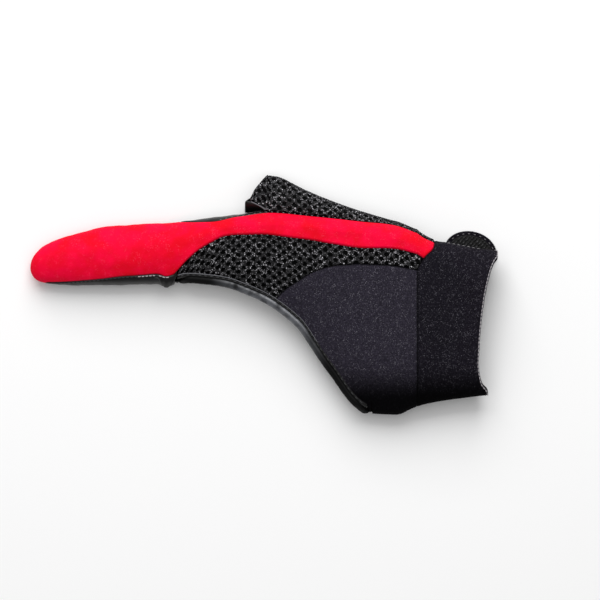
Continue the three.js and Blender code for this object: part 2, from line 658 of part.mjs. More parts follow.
function thumbMesh() {
  const bands = [
    { from: rim, to: fixed(CROTCH), rows: 3 },
    { from: fixed(CROTCH), to: seamFront, rows: 14 },
  ];
  const from = (section) => section.crestMark + (section.closed ? THUMB_SEAM_LAP : 0);
  return thicken([patch({ surface: thumb, bands, columns: 8, from, to: thumbSeam })], MESH_WALL);
}

function thumbFront() {
  const bands = [{ from: rim, to: fixed(CROTCH - CROTCH_FOLD), rows: 3 }];
  const floor = (section) => section.floorMark;
  const crotch = patch({
    surface: thumb, bands, columns: 5, from: thumbSeam, to: floor, gapTo: false,
  });
  const heel = patch({
    surface: thumb, columns: 5, from: thumbSeam, to: floor,
    bands: [{ from: fixed(CROTCH + 1e-4), to: seamFront, rows: 12 }],
  });
  const side = patch({
    surface: thumb, columns: 5, from: floor, gapFrom: false,
    bands: [{ from: rim, to: fixed(CROTCH - CROTCH_FOLD), rows: 3 }],
    to: (section) => section.whole + section.crestMark,
  });
  const wide = 6;
  for (let j = 0; j < wide; j += 1) {
    heel.vertices[j] = crotch.vertices[3 * wide + j].clone();
    heel.normals[j] = crotch.normals[3 * wide + j].clone();
  }
  return thicken([crotch, heel, side], LEATHER_WALL);
}

const SLIT_PLACE = 1.42;

function cuff() {
  const slit = (side) => (section) => {
    const turn = side < 0 ? 0 : section.length[section.length.length - 1];
    const middle = placed(section, SLIT_PLACE);
    return middle - section.length[section.length.length - 1] + turn + (-side * SLIT_WIDTH) / 2;
  };
  const rimAt = (place) => {
    const turned = THREE.MathUtils.euclideanModulo(place, 2);
    const rimOf = station(CUFF_RIM);
    return turned <= 1 ? rimOf(turned) : rimOf(2 - turned) - PALM_RIM_SETBACK;
  };
  const bands = [{ from: seamRear, to: rimAt, rows: 6 }];
  const sides = { from: slit(-1), to: slit(1), gapFrom: false, gapTo: false };
  return thicken([patch({ surface: tube, bands, columns: 44, ...sides })], NEOPRENE_WALL);
}

// The opening's rolled edge: a closed tube beside both edges of the opening.
function binding() {
  const radius = BINDING_DIAMETER / 2;
  const reach = radius + SEAM_GAP;
  const edgePoint = (rows, turn) => (at) => {
    const section = tube(at);
    const [y, z] = pointOn(section, placed(section, across(rows)(at) + turn));
    return new THREE.Vector3(lengthwise(at), y, z);
  };
  const beside = (edge, rows, turn, sign, at) => {
    const here = edge(at);
    const run = edge(at + 0.01).sub(edge(at - 0.01)).normalize();
    const section = tube(at);
    const l = placed(section, across(rows)(at) + turn);
    const [a, b] = [pointOn(section, l - 0.6), pointOn(section, l + 0.6)];
    const over = new THREE.Vector3(0, b[0] - a[0], b[1] - a[1]).normalize();
    const normal = new THREE.Vector3().crossVectors(run, over).normalize();
    if (sign > 0 === normal.z < 0) normal.negate();
    const out = new THREE.Vector3().crossVectors(normal, run);
    if (out.y > 0) out.negate();
    const centre = here.addScaledVector(out, reach).addScaledVector(normal, -0.35 * radius);
    return centre;
  };
  const points = [];
  const [start, end, steps] = [1.075, 1.765, 9];
  const at = (i) => THREE.MathUtils.lerp(start, end, i / steps);
  const back = edgePoint(OPENING_BACK_EDGE, 0);
  const front = edgePoint(PALM_ULNAR_EDGE, 2);
  for (let i = 0; i <= steps; i += 1) points.push(beside(back, OPENING_BACK_EDGE, 0, 1, at(i)));
  const turn = (place, share) => {
    const e = edges(place);
    return new THREE.Vector3(lengthwise(place), e.ulnar + share * radius, e.ulnarSide);
  };
  points.push(turn(1.797, 0.6));
  for (let i = steps; i >= 0; i -= 1) {
    const centre = beside(front, PALM_ULNAR_EDGE, 2, -1, at(i));
    centre.z = Math.max(centre.z, radius + 0.3);
    points.push(centre);
  }
  points.push(turn(1.054, 0.9));
  const path = new THREE.CatmullRomCurve3(points, true, 'centripetal');
  const count = 64;
  const sides = 8;
  const vertices = [];
  for (let i = 0; i < count; i += 1) {
    const centre = path.getPointAt(i / count);
    const run = path.getTangentAt(i / count);
    const right = new THREE.Vector3().crossVectors(run, new THREE.Vector3(1, 0.6, 0)).normalize();
    const up = new THREE.Vector3().crossVectors(right, run).normalize();
    for (let k = 0; k < sides; k += 1) {
      const angle = (2 * Math.PI * k) / sides;
      const p = centre.clone().addScaledVector(right, radius * Math.cos(angle));
      p.addScaledVector(up, radius * Math.sin(angle)).setZ(Math.max(p.z, 0));
      vertices.push(p);
    }
  }
  const faces = [];
  for (let i = 0; i < count; i += 1) {
    for (let k = 0; k < sides; k += 1) {
      const [n, m] = [(i + 1) % count, (k + 1) % sides];
      const [a, b, c, d] = [i * sides + k, i * sides + m, n * sides + m, n * sides + k];
      faces.push(a, c, b, a, d, c);
    }
  }
  const geometry = new THREE.BufferGeometry();
  const all = vertices.flatMap((p) => p.toArray());
  geometry.setAttribute('position', new THREE.Float32BufferAttribute(all, 3));
  geometry.setIndex(faces);
  return geometry;
}

// The strap's flat outline: a square end under the cuff and, past the cuff's side, a round
// tab that is a little wider than the strap.
function strapShape(margin) {
  const half = STRAP_WIDTH / 2 - margin;
  const tab = TAB_WIDTH / 2 - margin;
  const foot = STRAP_WIDTH / 2 + margin - STRAP_LENGTH;
  const neck = TAB_SET_OUT - SHOULDER;
  const bend = TAB_SET_OUT - SHOULDER / 2;
  const shape = new THREE.Shape();
  shape.moveTo(-half, foot);
  shape.lineTo(half, foot);
  shape.lineTo(half, neck);
  shape.bezierCurveTo(half, bend, tab, bend, tab, TAB_SET_OUT);
  shape.absellipse(0, TAB_SET_OUT, tab, half - TAB_SET_OUT, 0, Math.PI, false, 0);
  shape.bezierCurveTo(-tab, bend, -half, bend, -half, neck);
  shape.closePath();
  return shape;
}

function flat(margin, thickness, name, material, lift) {
  const options = { depth: thickness, bevelEnabled: false, curveSegments: 10 };
  const mesh = new THREE.Mesh(new THREE.ExtrudeGeometry(strapShape(margin), options), material);
  const at = 2.665;
  mesh.position.set(lengthwise(at), edges(at).radial + TAB_REACH - STRAP_WIDTH / 2, lift);
  mesh.rotation.z = -STRAP_TILT;
  mesh.name = name;
  return mesh;
}

const fabric = (color, roughness) =>
  new THREE.MeshStandardMaterial({ color, roughness, metalness: 0 });
const red = fabric(0xe3082f, 0.75);
const neoprene = fabric(0x1c1a1f, 0.85);
const net = fabric(0x201e20, 0.8);
const leather = fabric(0x141415, 0.4);
const hook = fabric(0x0e0e0f, 0.7);

const PIECES = [
  ['index_strip', strip, red],
  ['hand_mesh', handMesh, net],
  ['back_panel', backPanel, neoprene],
  ['palm', palm, leather],
  ['thumb_mesh', thumbMesh, net],
  ['thumb_front', thumbFront, leather],
  ['wrist_cuff', cuff, neoprene],
  ['opening_binding', binding, leather],
];

const glove = new THREE.Group();
PIECES.forEach(([name, build, material]) => {
  const mesh = new THREE.Mesh(mergeVertices(build(), 1e-4), material);
  mesh.name = name;
  glove.add(mesh);
});
glove.add(flat(0, STRAP_THICKNESS, 'closure_strap', neoprene, 0));
const hookLift = STRAP_THICKNESS + (CUFF_LIFT - STRAP_THICKNESS - HOOK_THICKNESS) / 2;
glove.add(flat(HOOK_MARGIN, HOOK_THICKNESS, 'hook_patch', hook, hookLift));

// The origin is under the middle of the glove, where it rests.
const box = new THREE.Box3().setFromObject(glove, true);
const middle = box.getCenter(new THREE.Vector3());
glove.children.forEach((mesh) => mesh.position.sub(middle.clone().setZ(box.min.z)));

export default glove;
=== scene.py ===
"""A left-hand surf-casting glove, lying palm down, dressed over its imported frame.

Sizes are millimetres until a mesh is made. X runs from the fingertip to the wrist, Y to the
thumb side and Z up through the back of the hand. A station is a place along the glove: 0 is
the fingertip, 1 the web of the finger, 2 the cuff's seam and 3 the cuff's rear corner. A
place across is a share of the width seen from above, 0 on the little-finger side and 1 on
the thumb side, and 1 to 2 leads back along the palm.
"""

import logging
import math
from dataclasses import dataclass, field
from enum import Enum
from typing import Any, Callable, NamedTuple, Sequence

import bmesh
import bpy
import numpy as np
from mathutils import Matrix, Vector


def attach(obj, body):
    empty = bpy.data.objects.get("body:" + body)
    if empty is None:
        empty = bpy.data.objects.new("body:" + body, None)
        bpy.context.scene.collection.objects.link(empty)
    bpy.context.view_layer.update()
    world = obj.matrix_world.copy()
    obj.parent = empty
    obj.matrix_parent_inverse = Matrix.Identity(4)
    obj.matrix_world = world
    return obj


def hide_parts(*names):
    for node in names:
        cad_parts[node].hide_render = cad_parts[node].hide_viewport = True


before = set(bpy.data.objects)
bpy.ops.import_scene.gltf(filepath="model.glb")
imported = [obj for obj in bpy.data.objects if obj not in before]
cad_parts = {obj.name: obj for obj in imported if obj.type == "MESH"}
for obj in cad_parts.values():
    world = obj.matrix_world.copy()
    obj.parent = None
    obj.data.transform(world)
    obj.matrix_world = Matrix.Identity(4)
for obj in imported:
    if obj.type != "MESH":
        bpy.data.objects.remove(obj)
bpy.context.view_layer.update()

log = logging.getLogger("glove")

Thing = bpy.types.Object
Material = bpy.types.Material
Array = np.ndarray
Line = Callable[[Array], Array]

MM = 0.001
FRAME_SHIFT = (0.0086, -0.3906, 0.0)

FINGER_LENGTH = 71.8
HAND_LENGTH = 129.5
CUFF_LENGTH = 42.0
TOTAL_LENGTH = FINGER_LENGTH + HAND_LENGTH + CUFF_LENGTH
SWEEP = 124.3
PUCKER = 2.6
PUCKER_PLACE = 0.991
PUCKER_REACH = 0.045
THUMB_SPREAD = 19.0
THUMB_FLOOR_ROUND = 7.0
CROTCH_GAP = 0.45
CUFF_LIFT = 3.4
FOLD_RADIUS = 5.0
QUARTER = 0.5523
ARC_STEPS = 24
FLOOR_STEPS = 14
CROTCH = 1.406
WEB = 1.02
LEATHER_FRONT = 0.043
MESH_MEETS_BACK = 1.43
SIDE_SEAM_DROP = 3.5

# How far each panel laps past its seam line.
LAP = 0.04
# A distance from a seam at which the seam no longer shows.
AWAY = 9.0
# How far from a seam leather and knit swell freely.
SWELL_REACH = 3.0
# The least height of leather over the floor.
FLOOR_CLEARANCE = 0.02
# Half the step over which a surface's slope across is measured.
SLOPE_STEP = 0.4
# The first station that has a section.
TIP = 1e-5
# Where painted shade darkens the foam panels towards the little finger's side, by -Y.
PAINTED_SHADE_START = 34.0
PAINTED_SHADE_END = 54.0


class Zone(NamedTuple):
    """Width and height that the sections of one zone are shares of."""

    width: float
    height: float


FINGER = Zone(34, 18)
HAND = Zone(100, 28)
CUFF = Zone(82, 27)


class TubeRow(NamedTuple):
    """One section of the hand's tube, in shares of its zone."""

    at: float
    zone: Zone
    crest: float
    radial: float
    ulnar: float
    top: float
    tip: float
    radial_side: float
    ulnar_side: float
    radial_round: float
    ulnar_round: float


TUBE = (
    TubeRow(0, FINGER, 0.113, 0, 0, 0.41, 0.41, 0.5, 0.5, 0, 0),
    TubeRow(0.043, FINGER, 0.125, 0.19, 0.222, 0.655, 0.21, 0.46, 0.46, 0.1, 0.1),
    TubeRow(0.116, FINGER, 0.14, 0.26, 0.33, 0.78, 0.1, 0.45, 0.45, 0.14, 0.15),
    TubeRow(0.217, FINGER, 0.151, 0.315, 0.393, 0.87, 0.03, 0.45, 0.45, 0.17, 0.18),
    TubeRow(0.362, FINGER, 0.161, 0.365, 0.44, 0.935, 0, 0.45, 0.45, 0.19, 0.2),
    TubeRow(0.58, FINGER, 0.1715, 0.428, 0.474, 0.99, 0, 0.45, 0.45, 0.2, 0.22),
    TubeRow(0.797, FINGER, 0.18, 0.428, 0.5, 1.02, 0, 0.45, 0.44, 0.2, 0.22),
    TubeRow(1, FINGER, 0.1925, 0.4, 0.51, 1.06, 0, 0.46, 0.42, 0.19, 0.22),
    TubeRow(1.129, HAND, 0.23, 0.109, 0.239, 0.72, 0, 0.47, 0.4, 0.06, 0.08),
    TubeRow(1.289, HAND, 0.2845, 0.066, 0.364, 0.8, 0, 0.5, 0.34, 0.035, 0.09),
    TubeRow(1.406, HAND, 0.2895, 0.077, 0.449, 0.86, 0, 0.52, 0.3, 0.02, 0.1),
    TubeRow(1.53, HAND, 0.28, 0.078, 0.577, 0.91, 0, 0.51, 0.29, 0.03, 0.1),
    TubeRow(1.659, HAND, 0.2657, 0.084, 0.783, 0.96, 0, 0.49, 0.3, 0.045, 0.1),
    TubeRow(1.787, HAND, 0.251, 0.088, 0.926, 1, 0, 0.46, 0.33, 0.06, 0.1),
    TubeRow(1.916, HAND, 0.228, 0.096, 0.905, 1, 0, 0.44, 0.36, 0.07, 0.1),
    TubeRow(2, HAND, 0.1967, 0.094, 0.827, 0.98, 0, 0.42, 0.38, 0.08, 0.1),
    TubeRow(2.21, CUFF, 0.138, 0.14, 0.891, 1, 0, 0.43, 0.4, 0.1, 0.12),
    TubeRow(2.409, CUFF, 0.084, 0.203, 0.793, 0.98, 0, 0.44, 0.42, 0.12, 0.12),
    TubeRow(2.657, CUFF, 0.046, 0.238, 0.717, 0.98, 0, 0.45, 0.44, 0.12, 0.12),
    TubeRow(3, CUFF, 0.021, 0.247, 0.659, 1.04, 0, 0.46, 0.45, 0.12, 0.12),
)


class ThumbRow(NamedTuple):
    """One section of the thumb's sleeve, beside the hand's tube."""

    at: float
    spread: float
    seam: float
    top: float
    round: float


THUMB = (
    ThumbRow(1.305, 1.2, 0.44, 0.93, 0.7),
    ThumbRow(1.336, 1.13, 0.33, 0.95, 0.6),
    ThumbRow(1.379, 1.03, 0.14, 0.98, 0.4),
    ThumbRow(1.406, 0.975, 0, 1, 0.26),
    ThumbRow(1.434, 0.955, 0, 1, 0.26),
    ThumbRow(1.466, 0.895, 0, 1, 0.26),
    ThumbRow(1.53, 0.705, 0, 1, 0.26),
    ThumbRow(1.659, 0.392, 0, 1, 0.26),
    ThumbRow(1.787, 0.164, 0, 1, 0.26),
    ThumbRow(1.916, 0.02, 0, 1, 0.26),
    ThumbRow(2.3, 0, 0, 1, 0.26),
)


class Knot(NamedTuple):
    """A point of a seam: where it is, and its place or station there."""

    at: float
    value: float


STRIP_ULNAR_EDGE = (
    Knot(0.043, -0.44), Knot(0.055, -0.34), Knot(0.075, -0.16), Knot(0.097, -0.02),
    Knot(0.14, 0.02), Knot(0.24, 0.045), Knot(0.385, 0.075), Knot(0.536, 0.1),
    Knot(0.71, 0.137), Knot(0.884, 0.147), Knot(1, 0.15), Knot(1.02, 0.155),
    Knot(1.045, 0.235), Knot(1.08, 0.385), Knot(1.129, 0.55), Knot(1.177, 0.65),
    Knot(1.225, 0.725), Knot(1.289, 0.75), Knot(1.434, 0.767), Knot(1.61, 0.8185),
    Knot(1.803, 0.8466), Knot(2, 0.862), Knot(2.3, 0.862),
)
STRIP_RADIAL_EDGE = (
    Knot(0.043, 1.42), Knot(0.105, 1.22), Knot(0.217, 1.12), Knot(0.362, 1.07),
    Knot(0.884, 1.04), Knot(1.048, 1), Knot(1.129, 0.965), Knot(1.19, 0.95),
    Knot(1.273, 0.978), Knot(1.406, 0.989), Knot(1.787, 0.984), Knot(2.3, 0.988),
)
BACK_PANEL_EDGE = (
    Knot(1.43, 0.155), Knot(1.445, 0.215), Knot(1.478, 0.328), Knot(1.522, 0.446),
    Knot(1.578, 0.58), Knot(1.635, 0.668), Knot(1.695, 0.72), Knot(1.779, 0.76),
    Knot(2.1, 0.774),
)
OPENING_BACK_EDGE = (
    Knot(1.03, 0.1), Knot(1.08, 0.13), Knot(1.129, 0.145), Knot(1.289, 0.157),
    Knot(1.434, 0.15), Knot(1.53, 0.15), Knot(1.594, 0.122), Knot(1.659, 0.098),
    Knot(1.723, 0.07), Knot(1.8, 0.035), Knot(1.836, -0.05), Knot(1.865, -0.085),
    Knot(2.1, -0.085),
)
PALM_ULNAR_EDGE = (
    Knot(1.02, 0.155), Knot(1.035, -0.04), Knot(1.058, -0.2), Knot(1.129, -0.25),
    Knot(1.289, -0.24), Knot(1.434, -0.22), Knot(1.594, -0.16), Knot(1.723, -0.12),
    Knot(1.82, -0.1), Knot(1.865, -0.085), Knot(2.1, -0.085),
)
THENAR_SEAM = (
    Knot(1.406, 1.036), Knot(1.53, 1.09), Knot(1.691, 1.13), Knot(1.851, 1.145),
    Knot(2.3, 1.15),
)
CUFF_SEAM = (
    Knot(-0.1, 2), Knot(0.77, 2), Knot(0.8, 2.02), Knot(0.865, 2.087), Knot(0.965, 2.21),
    Knot(1.02, 2.22), Knot(1.12, 2.14), Knot(1.3, 2.02), Knot(1.5, 2), Knot(1.9, 2),
)
CUFF_RIM = (
    Knot(0, 2.88), Knot(0.026, 2.863), Knot(0.075, 2.8), Knot(0.136, 2.771),
    Knot(0.208, 2.755), Knot(0.34, 2.763), Knot(0.47, 2.78), Knot(0.65, 2.82),
    Knot(0.81, 2.879), Knot(0.888, 2.92), Knot(0.93, 2.953), Knot(0.97, 2.995),
    Knot(1, 3),
)
THUMB_RIM = (
    Knot(0, 1.309), Knot(0.25, 1.309), Knot(0.35, 1.33), Knot(0.54, 1.346),
    Knot(0.8, 1.375), Knot(1, 1.397),
)


def even(value: Array) -> Array:
    """Leaves a table's scale as it is."""
    return np.asarray(value, float)


class Curve:
    """A smooth curve through the rows of a table that never overshoots them."""

    def __init__(
        self, at: Sequence[float], value: Sequence[float], ease: Line = np.sqrt
    ) -> None:
        """Prepares the slopes.

        Args:
            at: Where each row stands.
            value: The value of each row.
            ease: Bends the table's scale, so that a blunt tip comes out round.
        """
        self.ease = ease
        self.x = ease(np.asarray(at, float))
        self.y = np.asarray(value, float)
        step = np.diff(self.y) / np.diff(self.x)
        slope = np.concatenate([step[:1], np.zeros(len(step) - 1), step[-1:]])
        for i, (one, two) in enumerate(zip(step[:-1], step[1:]), 1):
            slope[i] = 0 if one * two <= 0 else 2 * one * two / (one + two)
        self.slope = slope

    def __call__(self, at: Array) -> Array:
        """Looks the curve up.

        Args:
            at: The places asked for.

        Returns:
            The curve's value at each.
        """
        q = np.clip(self.ease(np.asarray(at, float)), self.x[0], self.x[-1])
        i = np.clip(np.searchsorted(self.x, q) - 1, 0, len(self.x) - 2)
        h = self.x[i + 1] - self.x[i]
        t = (q - self.x[i]) / h
        return (
            (2 * t**3 - 3 * t**2 + 1) * self.y[i]
            + (t**3 - 2 * t**2 + t) * h * self.slope[i]
            + (3 * t**2 - 2 * t**3) * self.y[i + 1]
            + (t**3 - t**2) * h * self.slope[i + 1]
        )


def seam_curve(knots: Sequence[Knot], ease: Line = np.sqrt) -> Curve:
    """Returns the curve of a seam's knots."""
    return Curve([k.at for k in knots], [k.value for k in knots], ease)


def smooth(value: Array, low: float, high: float) -> Array:
    """Returns 0 under low, 1 over high and a smooth step between."""
    t = np.clip((np.asarray(value, float) - low) / (high - low), 0, 1)
    return t * t * (3 - 2 * t)


def hump(value: Array, middle: float, reach: float) -> Array:
    """Returns 1 at the middle, fading out evenly to both sides."""
    return np.exp(-(((value - middle) / reach) ** 2))


def unit(vectors: Array) -> Array:
    """Returns the vectors at a length of 1."""
    return vectors / np.linalg.norm(vectors, axis=1, keepdims=True)


def walk(path: Array) -> Array:
    """Returns the distance walked along a path at each of its points."""
    return np.concatenate([[0], np.cumsum(np.linalg.norm(np.diff(path, axis=0), axis=1))])


def resampled(line: Array, walked: Array, wanted: Array) -> Array:
    """Returns a line's values at the distances wanted."""
    return np.stack([np.interp(wanted, walked, line[:, k]) for k in range(3)], axis=1)


def shifted(line: Line, by: float) -> Line:
    """Returns a line moved by a length along the section."""
    return lambda s: line(s) + by


def lengthwise(at: Array) -> Array:
    """Brings stations into the glove's own length.

    Args:
        at: Stations.

    Returns:
        X at each.
    """
    at = np.asarray(at, float)
    return (
        -TOTAL_LENGTH / 2
        + FINGER_LENGTH * np.clip(at, 0, 1)
        + HAND_LENGTH * np.clip(at - 1, 0, 1)
        + CUFF_LENGTH * np.clip(at - 2, 0, 1)
    )


def station_of(x: Array) -> Array:
    """Returns the station at each X."""
    ends = lengthwise(np.arange(4.0))
    return np.interp(x, ends, np.arange(4.0))


def pair(y: Array, z: Array) -> Array:
    """Returns points of a section from their two coordinates."""
    return np.stack(np.broadcast_arrays(y, z), axis=-1)


def bezier(a: Array, b: Array, c: Array, d: Array, steps: int) -> Array:
    """Draws a cubic curve in many sections at once.

    Args:
        a: Where the curve starts in each section.
        b: The handle at its start.
        c: The handle at its end.
        d: Where it ends.
        steps: Number of points after the first.

    Returns:
        The points after the first.
    """
    t = (np.arange(1, steps + 1) / steps)[None, :, None]
    a, b, c, d = (p[:, None, :] for p in (a, b, c, d))
    return (1 - t) ** 3 * a + 3 * t * (1 - t) ** 2 * b + 3 * t * t * (1 - t) * c + t**3 * d


def side_handle(reach: Array, rise: Array) -> Array:
    """Works out how long a side's handle has to be to keep its fold round.

    Args:
        reach: Widths from the crest to the side.
        rise: Heights from the side to the crest.

    Returns:
        The handle, as a share of the height.
    """
    radius = np.minimum(FOLD_RADIUS, 0.3 * reach)
    needed = np.sqrt(np.maximum(radius * (1 - QUARTER) * reach, 0) / 1.5)
    return np.clip(needed / np.maximum(rise, 1e-6), QUARTER, 0.92)


class Sections:
    """A tube's sections, resampled evenly so that any point of it can be looked up."""

    SAMPLES = 700

    def __init__(
        self, at: Array, points: Array, plan: Array, closed: bool, marks: dict[str, int]
    ) -> None:
        """Resamples the sections.

        Args:
            at: The station of each section.
            points: Sections by points by (y, z).
            plan: The place across of each point.
            closed: Whether a section ends where it starts.
            marks: Names of points on every section, kept as lengths along it.
        """
        self.at, self.closed = at, closed
        steps = np.linalg.norm(np.diff(points, axis=1), axis=2)
        self.raw_length = np.concatenate([np.zeros((len(at), 1)), np.cumsum(steps, 1)], 1)
        self.raw_plan = plan
        self.whole = self.raw_length[:, -1]
        share = np.linspace(0, 1, self.SAMPLES)
        self.grid = np.empty((3, len(at), self.SAMPLES))
        for i in range(len(at)):
            wanted = share * self.whole[i]
            for n, column in enumerate((points[i, :, 0], points[i, :, 1], plan[i])):
                self.grid[n, i] = np.interp(wanted, self.raw_length[i], column)
        self.marks = {name: self.raw_length[:, index] for name, index in marks.items()}

    def _look(self, n: int, at: Array, share: Array) -> Array:
        """Looks up one column of the grid.

        Args:
            n: The column: 0 for y, 1 for z and 2 for the place across.
            at: Stations.
            share: Shares of the section's length.

        Returns:
            The values there.
        """
        i = np.interp(at, self.at, np.arange(len(self.at)))
        j = np.clip(share, 0, 1) * (self.SAMPLES - 1)
        i0 = np.clip(i.astype(int), 0, len(self.at) - 2)
        j0 = np.clip(j.astype(int), 0, self.SAMPLES - 2)
        fi, fj = i - i0, j - j0
        g = self.grid[n]
        return (g[i0, j0] * (1 - fj) + g[i0, j0 + 1] * fj) * (1 - fi) + (
            g[i0 + 1, j0] * (1 - fj) + g[i0 + 1, j0 + 1] * fj
        ) * fi

    def _share(self, at: Array, length: Array) -> tuple[Array, Array]:
        """Turns lengths into shares of the section.

        Args:
            at: Stations.
            length: Lengths along the sections.

        Returns:
            The share round the section and the whole turns before it.
        """
        share = length / np.interp(at, self.at, self.whole)
        turns = np.floor(share) if self.closed else np.zeros_like(share)
        return share - turns, turns

    def point(self, at: Array, length: Array) -> Array:
        """Finds points on the tube.

        Args:
            at: Stations.
            length: Lengths along their sections.

        Returns:
            The points.
        """
        share, _ = self._share(at, length)
        parts = [lengthwise(at), self._look(0, at, share), self._look(1, at, share)]
        return np.stack(np.broadcast_arrays(*parts), axis=-1)

    def place(self, at: Array, length: Array) -> Array:
        """Returns the places across at stations and lengths along their sections."""
        share, turns = self._share(at, length)
        return self._look(2, at, share) + 2 * turns

    def edge(self, places: Array) -> Line:
        """Makes the line of an edge.

        Args:
            places: The edge's place across at each section.

        Returns:
            Its lengths by station.
        """
        turns = np.floor(places / 2) if self.closed else np.zeros_like(places)
        found = [
            np.interp(p - 2 * t, plan, length) + t * length[-1]
            for p, t, plan, length in zip(places, turns, self.raw_plan, self.raw_length)
        ]
        return lambda at: np.interp(at, self.at, found)

    def mark(self, name: str) -> Line:
        """Returns the lengths by station of a named point."""
        return lambda at: np.interp(at, self.at, self.marks[name])


